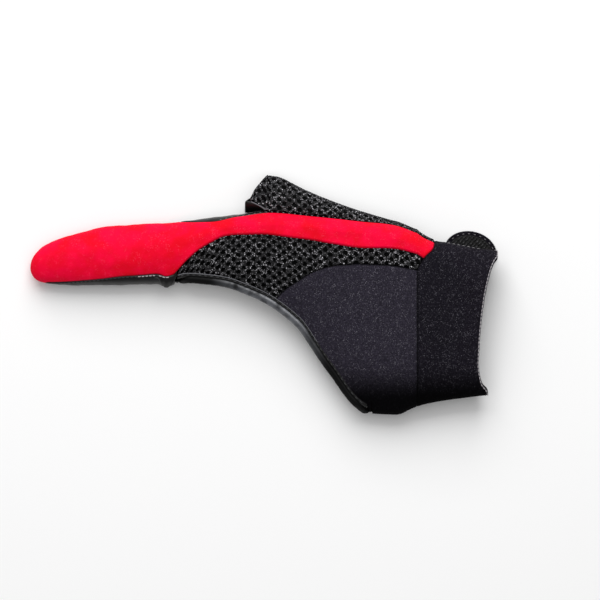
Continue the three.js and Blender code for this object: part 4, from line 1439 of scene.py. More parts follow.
def dress(
    thing: Thing,
    material: Material,
    slot: Slot,
    node: str | None = None,
) -> None:
    """Gives a piece its material and its place in the frame.

    Args:
        thing: The piece.
        material: Its material.
        slot: The slot for it; not used.
        node: The solid of the frame that it stands for, if it stands for one.
    """
    thing.data.materials.append(material)
    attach(thing, "root")
    if node:
        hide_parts(node)
    triangles = sum(len(p.vertices) - 2 for p in thing.data.polygons)
    log.info("%s: %d triangles", thing.name, triangles)


@dataclass(frozen=True)
class Stitch:
    """One kind of stitch: a small bowed length of thread, drawn in at its ends."""

    pitch: float
    length: float
    radius: float
    bow: float = 1.3
    sink: float = 0.4
    points: int = 7

    def row(self, name: str, path: Array, up: Array) -> Thing:
        """Makes a row of stitches.

        Args:
            name: The piece's name.
            path: The line the stitches follow.
            up: Outward direction at each point of the path.

        Returns:
            The piece.
        """
        walked = walk(path)
        share = np.linspace(-1, 1, self.points)
        rise = ((1 - share**2) * self.bow - self.sink) * self.radius
        thick = self.radius * np.sqrt(np.clip(1.05 - share**6, 0.05, 1))
        solid = Solid()
        for centre in np.arange(self.pitch / 2, walked[-1], self.pitch):
            along = centre + share * self.length / 2
            out = resampled(up, walked, along)
            solid.add_tube(resampled(path, walked, along) + out * rise[:, None], thick)
        return solid.build(name)


def along_edge(
    table: Sections,
    edge: Line,
    stations: tuple[float, float],
    shift: float,
    lift: float,
    count: int = 240,
) -> tuple[Array, Array]:
    """Follows an edge on a tube.

    Args:
        table: The tube's sections.
        edge: Lengths of the edge by station.
        stations: The first and the last station.
        shift: Distance from the edge, along the section.
        lift: Height over the surface.
        count: Number of points.

    Returns:
        A line beside the edge, and the outward directions along it.
    """
    at = station_of(np.linspace(*lengthwise(stations), count))
    length = edge(at) + shift
    here = table.point(at, length)
    over = table.point(at, length + SLOPE_STEP) - table.point(at, length - SLOPE_STEP)
    out = unit(np.cross(np.gradient(here, axis=0), over))
    return here + out * lift, out


@dataclass(frozen=True)
class SewingLine:
    """A row of stitches beside an edge, from one station to another."""

    name: str
    stations: tuple[float, float]
    shift: float
    lift: float
    stitch: Stitch

    def sew(self, table: Sections, edge: Line, thread: Material, slot: Slot) -> None:
        """Builds and dresses the row.

        Args:
            table: The tube's sections.
            edge: Lengths of the edge by station.
            thread: The thread's material.
            slot: The slot for it.
        """
        path, up = along_edge(table, edge, self.stations, self.shift, self.lift)
        dress(self.stitch.row(self.name, path, up), thread, slot)


def seam_dip(distance: Array, depth: float, reach: float) -> Array:
    """Returns how far a panel turns down beside its sewn edge."""
    return -depth * (1 - smooth(distance, 0, reach)) ** 1.5


@dataclass(frozen=True)
class Give:
    """How a sewn panel turns down beside its seams and swells between them."""

    dip: float
    reach: float
    swell: float
    size: float
    seed: int

    def lift(self, points: Array, edges: Array, free: Array | float) -> Array:
        """Works out the panel's rise over its plain shape.

        Args:
            points: The panel's points.
            edges: Each point's distance from the nearest seam.
            free: How freely each point swells, from 0 to 1.

        Returns:
            The rise at each point, in millimetres.
        """
        swell = self.swell * rumple(points, self.size, self.seed)
        return seam_dip(edges, self.dip, self.reach) + swell * free


def settled(panel: Panel, lift: Array, facing: float = -0.9) -> Array:
    """Returns a lift with no rise where the panel's normals point down past facing."""
    return np.where(panel.normals[..., 2] < facing, np.minimum(lift, 0), lift)


def add_leather(
    solid: Solid,
    panel: Panel,
    sewn: tuple[bool, bool],
    wall: float,
    give: Give,
    free: Array | None = None,
) -> None:
    """Adds a leather panel, turned down at its sewn columns and kept over the floor.

    Args:
        solid: What it is added to.
        panel: The panel.
        sewn: Whether its first and its last column are sewn.
        wall: The leather's thickness.
        give: How it turns down and swells.
        free: How freely each point swells, in place of what its seams allow.
    """
    left, right = panel.columns_in()
    far = np.full_like(left, AWAY)
    edges = np.minimum(left if sewn[0] else far, right if sewn[1] else far)
    free = smooth(edges, 0, SWELL_REACH) if free is None else free
    lift = settled(panel, give.lift(panel.points, edges, free))
    outer = panel.lifted(lift)
    outer[..., 2] = np.maximum(outer[..., 2], FLOOR_CLEARANCE)
    solid.add_shell(outer, panel.lifted(lift - wall), seam=edges)


@dataclass
class WebFold:
    """The leather bunched up at the finger's web, over the start of the opening."""

    form: GloveForm
    finishes: Wardrobe
    front: float = 0.9
    rear: float = 1.036
    pitch: float = 0.4
    columns: int = 26
    wall: float = 0.9
    rest: float = 0.06
    set_in: float = 0.15
    lap: float = 1.0
    lap_place: float = 0.985
    lap_reach: float = 0.05
    width: float = 2.2
    spread: float = 5.2
    spread_from: tuple[float, float] = (0.92, 0.98)
    spread_to: tuple[float, float] = (1.04, 1.0)
    height: float = 0.5
    rise: float = 0.35
    crease: float = 0.16
    thread_height: float = 0.5
    thread_share: float = 0.55
    stitch: Stitch = Stitch(1.9, 1.6, 0.26)

    def _panel(self) -> Panel:
        """Lays the fold's panel.

        Returns:
            The panel.
        """
        ulnar = self.form.edge(STRIP_ULNAR_EDGE)

        def high(s: Array) -> Array:
            """Returns its upper edge, which laps the strip where the web dips."""
            return ulnar(s) + self.lap * hump(s, self.lap_place, self.lap_reach) - self.set_in

        def low(s: Array) -> Array:
            """Returns its lower edge, which spreads out over the web."""
            spread = smooth(s, *self.spread_from) * smooth(s, *self.spread_to)
            return ulnar(s) - self.width - self.spread * spread

        stations = at_station(self.front), at_station(self.rear)
        return lay(self.form.hand, *stations, low, high, self.pitch, self.columns)

    def build(self) -> None:
        """Builds and dresses the fold and its thread."""
        panel = self._panel()
        rows, (left, right) = panel.rows_in(), panel.columns_in()
        swell = smooth(np.minimum(*rows), 0, 2.0) * smooth(left, 0, 1.4) * smooth(right, 0, 0.5)
        crease = self.crease * np.sin(rows[0] * 1.5 + left * 0.6) * smooth(right, 0.5, 2)
        rise = self.height + crease + self.rise * smooth(right, 0.5, 3.0)
        lift = self.rest + swell * rise
        solid = Solid()
        far = np.full(lift.shape, AWAY)
        solid.add_shell(panel.lifted(lift), panel.lifted(lift - self.wall), seam=far)
        dress(solid.build("web_fold_leather"), self.finishes.leather, Slot.LEATHER)
        share = self.thread_share
        path = panel.points[:, -1] * share + panel.points[:, -3] * (1 - share)
        kept = slice(6, -8)
        up = panel.normals[kept, -3]
        row = self.stitch.row("web_fold_thread", path[kept] + up * self.thread_height, up)
        dress(row, self.finishes.light_thread, Slot.LEATHER)


@dataclass
class IndexSleeve:
    """The red strip over the index finger and the leather palm under it."""

    form: GloveForm
    finishes: Wardrobe
    strip_wall: float = 1.6
    strip_pitch: float = 0.75
    strip_columns: int = 74
    cap_rows: int = 14
    cap_crowd: float = 2.0
    cap_end: float = -114.0
    cap_fade: float = 5.0
    strip_give: Give = Give(0.55, 1.5, 0.16, 17, 3)
    pucker: float = 0.1
    pucker_size: float = 6.5
    leather_wall: float = 1.1
    leather_pitch: float = 0.9
    leather_give: Give = Give(0.32, 1.1, 0.22, 8, 11)
    palm_front: float = 0.05
    palm_columns: int = 90
    side_columns: int = 16
    side_share: float = 0.25
    weld: float = 0.01

    def strip(self) -> None:
        """Builds and dresses the red strip, closed round the fingertip."""
        hand, columns = self.form.hand, self.strip_columns
        whole = (hand.edge(np.full_like(hand.at, place)) for place in (-0.5, 1.5))
        front = at_station(LEATHER_FRONT)
        cap = lay(hand, at_station(TIP), front, *whole, 1, columns, self.cap_rows, self.cap_crowd)
        low = shifted(self.form.edge(STRIP_ULNAR_EDGE), -LAP)
        high = shifted(self.form.strip_radial, LAP)
        main = lay(hand, front, cuff_seam(LAP), low, high, self.strip_pitch, columns)
        main.points[0], main.normals[0] = cap.points[-1], cap.normals[-1]
        cap.points[0] = cap.points[0].mean(axis=0)
        from_front, from_cuff = main.rows_in()
        edges = np.minimum(*main.columns_in())
        edges = np.where(main.points[..., 0] < self.cap_end, AWAY, edges)
        edges = np.minimum(edges, from_cuff)
        lift = self.strip_give.lift(main.points, edges, 1.0)
        pucker = rumple(main.points, self.pucker_size, 5) * smooth(edges, 0, SWELL_REACH)
        lift += self.pucker * pucker
        lift *= smooth(from_front, 0, self.cap_fade)
        inner = cap.lifted(-self.strip_wall)
        inner[0] = inner[0].mean(axis=0)
        solid = Solid()
        solid.add_shell(cap.points, inner, Rim.NONE, seam=np.full(inner.shape[:2], AWAY))
        outer, under = main.lifted(lift), main.lifted(lift - self.strip_wall)
        solid.add_shell(outer, under, Rim.BEHIND_FRONT, seam=edges)
        thing = solid.build("index_strip_knit", self.weld * 2)
        dress(thing, self.finishes.knit, Slot.STRETCH, "index_strip")

    def palm(self) -> None:
        """Builds and dresses the palm and the underside of the finger."""
        hand = self.form.hand
        strip_edge = seam_curve(STRIP_ULNAR_EDGE)(hand.at)
        palm_edge = seam_curve(PALM_ULNAR_EDGE)(hand.at)
        ulnar = hand.edge(np.where(hand.at <= WEB, strip_edge, palm_edge) + 2)
        radial = self.form.strip_radial
        thenar = self.form.edge(THENAR_SEAM)
        floor = hand.mark("floor")

        def fold(s: Array) -> Array:
            """Returns where the leather turns from the finger's side to the palm."""
            least = radial(s) * (1 - self.side_share) + ulnar(s) * self.side_share
            return np.where(s > CROTCH, thenar(s), np.maximum(floor(s), least))

        start, crotch = at_station(self.palm_front), at_station(CROTCH)
        palm = (fold, shifted(ulnar, LAP), self.leather_pitch, self.palm_columns)
        side = (shifted(radial, -LAP), fold, self.leather_pitch, self.side_columns)
        solid = Solid()
        for first, last, lines, sewn in (
            (start, crotch, palm, (False, True)),
            (crotch, cuff_seam(LAP), palm, (True, True)),
            (start, crotch, side, (True, False)),
        ):
            panel = lay(hand, first, last, *lines)
            free = smooth(panel.points[..., 2], 0.2, 3.0)
            add_leather(solid, panel, sewn, self.leather_wall, self.leather_give, free)
        thing = solid.build("palm_leather", self.weld)
        dress(thing, self.finishes.leather, Slot.LEATHER, "palm")

    def stitches(self) -> None:
        """Adds the sewing lines beside the strip."""
        hand, finish = self.form.hand, self.finishes
        ulnar, radial = self.form.edge(STRIP_ULNAR_EDGE), self.form.strip_radial
        line = SewingLine("finger_seam_thread", (0.78, 0.905), -0.35, -0.05, WebFold.stitch)
        line.sew(hand, ulnar, finish.light_thread, Slot.LEATHER)
        stitch = Stitch(2.2, 1.6, 0.2)
        line = SewingLine("finger_seam_dark_thread", (0.12, 0.775), -0.35, -0.15, stitch)
        line.sew(hand, ulnar, finish.dark_thread, Slot.LEATHER)
        line = SewingLine("knuckle_seam_thread", (1.1, 1.95), -0.3, -0.1, Stitch(3.1, 0.9, 0.2))
        line.sew(hand, ulnar, finish.grey_thread, Slot.MESH)
        line = SewingLine("thumb_side_thread", (1.2, 1.95), 0.15, -0.15, Stitch(3.0, 1.0, 0.2))
        line.sew(hand, radial, finish.grey_thread, Slot.MESH)

    def build(self) -> None:
        """Builds every piece."""
        self.strip()
        self.palm()
        WebFold(self.form, self.finishes).build()
        self.stitches()


@dataclass
class OpenNet:
    """Relief of the knitted mesh, threads standing round staggered cells, and its lining."""

    along: float = 5.3
    across: float = 4.7
    cell: float = 1.25
    depth: float = 0.8
    twist: float = 0.16
    skirt: float = 1.3
    seam_depth: float = 0.6
    seam_reach: float = 1.2
    lining_top: float = 1.1
    lining_bottom: float = 1.9

    def threads(self, along: Array, across: Array) -> Array:
        """Finds the threads.

        Args:
            along: Places along the glove.
            across: Places across it.

        Returns:
            1 on a thread's ridge and 0 in the middle of a cell.
        """
        wander = 0.12 * np.sin(along * 0.9 + across * 0.5)
        wander += 0.1 * np.sin(across * 1.3 - along * 0.4)
        along, across = along + wander, across - wander
        nearest = np.full(np.broadcast(along, across).shape, AWAY)
        for shift in (0.0, 0.5):
            u = (along / self.along + shift) % 1 - 0.5
            v = (across / self.across + shift) % 1 - 0.5
            nearest = np.minimum(nearest, np.hypot(u * self.along, v * self.across))
        return smooth(nearest, self.cell * 0.76, self.cell * 1.08)

    def height(self, thread: Array, along: Array, across: Array) -> Array:
        """Returns the relief in millimetres."""
        twist = np.sin(along * 4.1 + across * 3.3) * np.sin(across * 3.9 - along * 2.2)
        return -self.depth * (1 - thread) + self.twist * twist * thread

    def knitted(
        self,
        panel: Panel,
        across: Array,
        sewn: Array,
        offset: float = 0.0,
        border: Array | float = 0.0,
    ) -> Solid:
        """Lays the net over a panel.

        Args:
            panel: The panel.
            across: Each point's place across it.
            sewn: Each point's distance from the nearest seam.
            offset: How far the cells are moved across.
            border: 1 where thread fills the net, as at an open end.

        Returns:
            The net.
        """
        along = panel.points[..., 0]
        thread = np.maximum(self.threads(along, across + offset), border)
        lift = self.height(thread, along, across) + seam_dip(sewn, self.seam_depth, self.seam_reach)
        solid = Solid()
        outer, skirt = panel.lifted(lift), panel.lifted(-self.skirt)
        solid.add_sheet(outer, skirt, thread=thread * smooth(sewn, 0, 1.0))
        return solid

    def lining(self, panel: Panel) -> Solid:
        """Lays the thin lining under the net.

        Args:
            panel: The panel.

        Returns:
            The lining.
        """
        solid = Solid()
        outer, inner = panel.lifted(-self.lining_top), panel.lifted(-self.lining_bottom)
        solid.add_shell(outer, inner, seam=np.full(outer.shape[:2], AWAY))
        return solid


@dataclass
class KnuckleMesh:
    """The open mesh over the knuckles and its thin lining."""

    form: GloveForm
    finishes: Wardrobe
    net: OpenNet = field(default_factory=OpenNet)
    pitch: float = 0.34
    lining_pitch: float = 1.4
    front: float = 1.034
    cell_offset: float = 1.2

    def _edges(self) -> tuple[Line, Line]:
        """Finds its two long edges.

        Returns:
            The opening's side and the strip's.
        """
        opening = self.form.edge(OPENING_BACK_EDGE)
        back = self.form.edge(BACK_PANEL_EDGE)

        def low(s: Array) -> Array:
            """Returns the opening's edge, and the back panel's from where they meet."""
            blend = smooth(s, MESH_MEETS_BACK - 0.004, MESH_MEETS_BACK + 0.002)
            return opening(s) * (1 - blend) + back(s) * blend - LAP

        return low, shifted(self.form.edge(STRIP_ULNAR_EDGE), LAP)

    def build(self) -> None:
        """Builds and dresses the mesh and its lining."""
        edges = self._edges()
        hand, start = self.form.hand, at_station(self.front)
        panel = lay(hand, start, cuff_seam(LAP), *edges, self.pitch)
        left, right = panel.columns_in()
        sewn = np.minimum(np.minimum(left, right), panel.rows_in()[1])
        net = self.net.knitted(panel, right, sewn, self.cell_offset)
        dress(net.build("knuckle_mesh"), self.finishes.mesh, Slot.MESH, "hand_mesh")
        lining = self.net.lining(lay(hand, start, cuff_seam(), *edges, self.lining_pitch))
        dress(lining.build("knuckle_mesh_backing"), self.finishes.lining, Slot.MESH)


@dataclass
class ThumbSleeve:
    """The short thumb sleeve: mesh outside, leather inside and under."""

    form: GloveForm
    finishes: Wardrobe
    net: OpenNet = field(default_factory=OpenNet)
    net_pitch: float = 0.34
    net_columns: int = 96
    lining_pitch: float = 1.4
    lining_columns: int = 24
    crest_gap: float = 0.02
    rim_thread: tuple[float, float] = (0.5, 1.1)
    leather_wall: float = 1.1
    leather_give: Give = Give(0.3, 1.0, 0.1, 9, 21)
    outer_pitch: float = 0.9
    outer_columns: int = 30
    inner_pitch: float = 0.7
    inner_columns: int = 36
    inner_gap: float = 0.1
    edge_radius: float = 0.3
    edge_front: float = 1.333

    def _parts(self) -> list[tuple[Sections, Line, Line]]:
        """Splits the sleeve at the crotch.

        Returns:
            The sections, first and last line of both stretches.
        """
        return [
            (self.form.sleeve, mirrored(THUMB_RIM), at_station(CROTCH - 1e-4)),
            (self.form.root, at_station(CROTCH), cuff_seam(LAP)),
        ]

    def _mesh_panel(self, pitch: float, columns: int) -> Panel:
        """Lays one grid over both stretches, from the crest to the side seam.

        Args:
            pitch: Distance between rows.
            columns: Number of columns.

        Returns:
            The panel.
        """
        grids = []
        for table, start, end in self._parts():
            low = shifted(table.mark("crest"), self.crest_gap)
            high = shifted(table.mark("side"), SIDE_SEAM_DROP + LAP)
            grids.append(lay(table, start, end, low, high, pitch, columns).points)
        return Panel(np.concatenate([grids[0][:-1], grids[1]]))

    def mesh(self) -> None:
        """Builds and dresses the mesh and its lining."""
        panel = self._mesh_panel(self.net_pitch, self.net_columns)
        left, right = panel.columns_in()
        first, last = panel.rows_in()
        sewn = np.minimum(np.minimum(left, right), last)
        rim = 1 - smooth(first, *self.rim_thread)
        net = self.net.knitted(panel, left, sewn, border=rim)
        dress(net.build("thumb_mesh_net"), self.finishes.mesh, Slot.MESH, "thumb_mesh")
        lining = self.net.lining(self._mesh_panel(self.lining_pitch, self.lining_columns))
        dress(lining.build("thumb_mesh_backing"), self.finishes.lining, Slot.MESH)

    def leather(self) -> None:
        """Builds and dresses the thumb's leather."""
        solid = Solid()
        for table, start, end in self._parts():
            low = shifted(table.mark("side"), SIDE_SEAM_DROP - LAP)
            lines = (low, table.mark("floor"), self.outer_pitch, self.outer_columns)
            panel = lay(table, start, end, *lines)
            sewn = (True, table is self.form.root)
            add_leather(solid, panel, sewn, self.leather_wall, self.leather_give)
        table, start, end = self._parts()[0]
        floor, whole, crest = (table.mark(name) for name in ("floor", "whole", "crest"))

        def high(s: Array) -> Array:
            """Returns the crest's length, a turn on and a little short of the mesh."""
            return whole(s) + crest(s) - self.inner_gap

        panel = lay(table, start, end, floor, high, self.inner_pitch, self.inner_columns)
        add_leather(solid, panel, (False, False), self.leather_wall, self.leather_give)
        thing = solid.build("thumb_leather", 0.01)
        dress(thing, self.finishes.leather, Slot.LEATHER, "thumb_front")

    def trim(self) -> None:
        """Adds the pale edge between leather and mesh: a lighter cut edge with a painted highlight.
        """
        table = self.form.sleeve
        stations = (self.edge_front, CROTCH - 0.002)
        path, _ = along_edge(table, table.mark("crest"), stations, -0.05, 0.1, 60)
        solid = Solid()
        solid.add_tube(path, self.edge_radius)
        dress(solid.build("thumb_leather_edge"), self.finishes.cut_edge_and_highlight, Slot.LEATHER)

    def build(self) -> None:
        """Builds every piece."""
        self.mesh()
        self.leather()
        self.trim()


def painted_shade_by_side(panel: Panel) -> Array:
    """Returns how much painted shade darkens a panel towards the little finger's side, from 0 to 1.
    """
    return smooth(-panel.points[..., 1], PAINTED_SHADE_START, PAINTED_SHADE_END)


@dataclass
class BackPanel:
    """The foam panel over the back of the hand."""

    form: GloveForm
    finishes: Wardrobe
    wall: float = 2.0
    pitch: float = 0.9
    columns: int = 110
    front: float = 1.436
    give: Give = Give(0.5, 1.3, 0.12, 26, 31)
    flat_rim: float = 6.0

    def build(self) -> None:
        """Builds and dresses the panel."""
        low = shifted(self.form.edge(OPENING_BACK_EDGE), -LAP)
        high = shifted(self.form.edge(BACK_PANEL_EDGE), LAP)
        stations = at_station(self.front), cuff_seam(LAP)
        panel = lay(self.form.hand, *stations, low, high, self.pitch, self.columns)
        edges = np.minimum(np.minimum(*panel.columns_in()), panel.rows_in()[1])
        lift = self.give.lift(panel.points, edges, smooth(edges, 0, self.flat_rim))
        solid = Solid()
        outer, inner = panel.lifted(lift), panel.lifted(lift - self.wall)
        # The turned value paints shade on the panel towards the little finger's side.
        solid.add_shell(outer, inner, seam=edges, turned=painted_shade_by_side(panel))
        thing = solid.build("back_panel_foam", 0.01)
        dress(thing, self.finishes.back, Slot.NEOPRENE, "back_panel")


@dataclass
class OpeningBinding:
    """The rolled leather edge of the opening, and the sewn lip beside it."""

    form: GloveForm
    finishes: Wardrobe
    radius: float = 2.1
    gap: float = 0.35
    sink: float = 0.35
    squareness: float = 2.9
    crease: float = 0.025
    front: float = 1.075
    rear: float = 1.765
    turn_stations: tuple[float, float] = (1.797, 1.054)
    turn_shares: tuple[float, float] = (0.6, 0.9)
    rings: int = 640
    sides: int = 28
    rounds: int = 24
    polish_and_highlight_from: tuple[float, float] = (-30.0, -6.0)
    polish_and_highlight_to: tuple[float, float] = (34.0, 12.0)
    polish_and_highlight_rise: tuple[float, float] = (1.0, 9.0)
    lip: float = 1.45
    lip_lap: float = 1.0
    lip_wall: float = 0.5
    lip_stations: tuple[float, float] = (1.036, 1.80)
    groove: float = 0.75
    edge_stations: tuple[float, float] = (1.04, 1.6)
    edge_radii: tuple[float, float] = (0.24, 0.14)

    def _beside(self, edge: Line, at: Array, under: bool) -> tuple[Array, Array]:
        """Follows one edge of the opening.

        Args:
            edge: Lengths of the edge by station.
            at: Stations of the line.
            under: Whether the edge lies on the palm's side.

        Returns:
            The roll's centre line and the panel's outward directions there.
        """
        hand = self.form.hand
        length = edge(at)
        here = hand.point(at, length)
        run = hand.point(at + 0.01, edge(at + 0.01)) - hand.point(at - 0.01, edge(at - 0.01))
        over = hand.point(at, length + 0.6) - hand.point(at, length - 0.6)
        run = unit(run)
        normal = unit(np.cross(run, over))
        normal *= np.where((normal[:, 2] > 0) == under, -1.0, 1.0)[:, None]
        out = np.cross(normal, run)
        out *= np.where(out[:, 1] > 0, -1.0, 1.0)[:, None]
        return here + out * (self.radius + self.gap) - normal * self.sink * self.radius, normal

    def _path(self) -> tuple[Array, Array]:
        """Draws the roll's closed centre line.

        Returns:
            The line, and the directions out of the glove.
        """
        at = np.linspace(self.front, self.rear, 70)
        back, over = self._beside(self.form.edge(OPENING_BACK_EDGE), at, False)
        front, under = self._beside(self.form.edge(PALM_ULNAR_EDGE, 2), at[::-1], True)
        front[:, 2] = np.maximum(front[:, 2], self.radius + 0.3)
        e = self.form.sides(np.array(self.turn_stations))
        shift = np.array(self.turn_shares) * self.radius
        turn = (lengthwise(self.turn_stations), e["ulnar"] + shift, e["ulnar_side"])
        turn = np.stack(turn, axis=1)
        sideways = np.array([[0.0, -1.0, 0.0]])
        path = np.concatenate([back, turn[:1], front, turn[1:], back[:1]])
        out = np.concatenate([over, sideways, under, sideways, over[:1]])
        walked = walk(path)
        even_walk = np.linspace(0, walked[-1], self.rings, endpoint=False)
        path, out = (resampled(line, walked, even_walk) for line in (path, out))
        for _ in range(self.rounds):
            path, out = (
                (np.roll(line, 1, 0) + line * 2 + np.roll(line, -1, 0)) / 4 for line in (path, out)
            )
        return path, out

    def roll(self) -> None:
        """Builds and dresses the roll, a flattened fold of leather."""
        path, out = self._path()
        run = unit(np.roll(path, -1, 0) - np.roll(path, 1, 0))
        side = unit(np.cross(out, run))
        up = np.cross(run, side)
        angle = np.linspace(0, 2 * math.pi, self.sides, endpoint=False)
        power = 2 / self.squareness
        wide, tall = (np.sign(v) * np.abs(v) ** power for v in (np.cos(angle), np.sin(angle)))
        crease = 1 + self.crease * rumple(path * [2.0, 1.0, 1.0], 5, 41)[:, None, None]
        ring = side[:, None] * wide[None, :, None] + up[:, None] * tall[None, :, None]
        points = path[:, None] + self.radius * crease * ring
        points[..., 2] = np.maximum(points[..., 2], FLOOR_CLEARANCE)
        i = np.arange(self.rings * self.sides).reshape(self.rings, self.sides)
        n = np.roll(i, -1, axis=0)
        faces = np.stack([i, np.roll(i, -1, 1), np.roll(n, -1, 1), n], axis=-1).reshape(-1, 4)
        x, _, z = np.moveaxis(points, -1, 0)
        # Painted highlight and coat gloss: along the middle of the roll, more towards its top.
        polish = smooth(x, *self.polish_and_highlight_from) * smooth(x, *self.polish_and_highlight_to)
        solid = Solid()
        solid.add(points, faces, polish=polish * smooth(z, *self.polish_and_highlight_rise))
        dress(solid.build("opening_roll"), self.finishes.roll, Slot.LEATHER, "opening_binding")

    def sewn_lip(self) -> None:
        """Adds the flat lip over the panels' edge, its pale cut edge with a painted highlight, and
        its stitches.
        """
        hand = self.form.hand
        edge = self.form.edge(OPENING_BACK_EDGE)
        stations = (at_station(s) for s in self.lip_stations)
        lines = shifted(edge, -self.lip_lap), shifted(edge, self.lip)
        panel = lay(hand, *stations, *lines, pitch=0.9, columns=12)
        left, right = panel.columns_in()
        ends = smooth(np.minimum(*panel.rows_in()), 0, 1.5)
        lift = 0.36 * smooth(right, 0, 0.5) * ends - 0.25 * (1 - smooth(left, 0, 1.6))
        lift -= 0.3 * hump(right, self.groove, 0.4)
        solid = Solid()
        seam = np.minimum(right * 2, AWAY)
        solid.add_shell(panel.lifted(lift), panel.lifted(lift - self.lip_wall), seam=seam)
        dress(solid.build("opening_lip"), self.finishes.leather, Slot.LEATHER)
        path, _ = along_edge(hand, edge, self.edge_stations, self.lip, 0.08)
        solid = Solid()
        solid.add_tube(path, np.linspace(*self.edge_radii, len(path)))
        dress(solid.build("opening_lip_edge"), self.finishes.cut_edge_and_highlight, Slot.LEATHER)
        shift, stitch = self.lip - self.groove, Stitch(3.1, 1.8, 0.26)
        line = SewingLine("opening_thread", (1.045, 1.785), shift, 0.15, stitch)
        line.sew(hand, edge, self.finishes.dark_thread, Slot.LEATHER)

    def build(self) -> None:
        """Builds every piece."""
        self.roll()
        self.sewn_lip()


@dataclass
class WristCuff:
    """The foam cuff, its pale rear edge (a lighter cut edge with a painted highlight) and its
    stitches.
    """

    form: GloveForm
    finishes: Wardrobe
    wall: float = 2.0
    pitch: float = 0.9
    columns: int = 190
    slit_place: float = 1.42
    slit_width: float = 7.0
    setback: float = 0.03
    give: Give = Give(0.5, 1.3, 0.14, 24, 51)
    flat_rim: float = 6.0
    rim_dip: float = 0.35
    rim_reach: float = 0.8
    cord_radius: float = 0.26
    cord_share: float = 0.7
    cord_sink: float = 0.22
    edge_stitch: Stitch = Stitch(2.1, 1.5, 0.24)
    side_line: SewingLine = SewingLine(
        "cuff_side_thread", (2.36, 2.8), -3.0, 0.05, Stitch(2.6, 1.5, 0.2)
    )

    def _limits(self) -> tuple[Line, Line]:
        """Finds the two edges of the slit, a turn apart.

        Returns:
            The first and the last column's lengths.
        """
        hand = self.form.hand
        middle = hand.edge(np.full_like(hand.at, self.slit_place))

        def low(s: Array) -> Array:
            """Returns the slit's far edge, taken a whole section back."""
            return middle(s) - np.interp(s, hand.at, hand.whole) + self.slit_width / 2

        return low, shifted(middle, -self.slit_width / 2)

    def build(self) -> None:
        """Builds and dresses the cuff, its edge and its stitches."""
        hand = self.form.hand
        rim = mirrored(CUFF_RIM, self.setback)
        panel = lay(hand, cuff_seam(-LAP), rim, *self._limits(), self.pitch, self.columns)
        first, last = panel.rows_in()
        lift = self.give.lift(panel.points, first, smooth(first, 0, self.flat_rim))
        lift += seam_dip(last, self.rim_dip, self.rim_reach)
        lift = settled(panel, lift, -0.8)
        solid = Solid()
        outer, inner = panel.lifted(lift), panel.lifted(lift - self.wall)
        seam = np.minimum(first, AWAY)
        # The turned value paints shade on the cuff towards the little finger's side.
        solid.add_shell(outer, inner, seam=seam, turned=painted_shade_by_side(panel))
        dress(solid.build("wrist_cuff_foam"), self.finishes.cuff, Slot.NEOPRENE, "wrist_cuff")
        up, share = panel.normals[-2], self.cord_share
        path = panel.points[-1] * share + panel.points[-2] * (1 - share) - up * self.cord_sink
        solid = Solid()
        solid.add_tube(path, self.cord_radius)
        dress(solid.build("cuff_edge_cord"), self.finishes.cut_edge_and_highlight, Slot.NEOPRENE)
        row = self.edge_stitch.row("cuff_edge_thread", path + up * 0.12, up)
        dress(row, self.finishes.light_thread, Slot.NEOPRENE)
        self.side_line.sew(hand, hand.mark("side"), self.finishes.grey_thread, Slot.NEOPRENE)


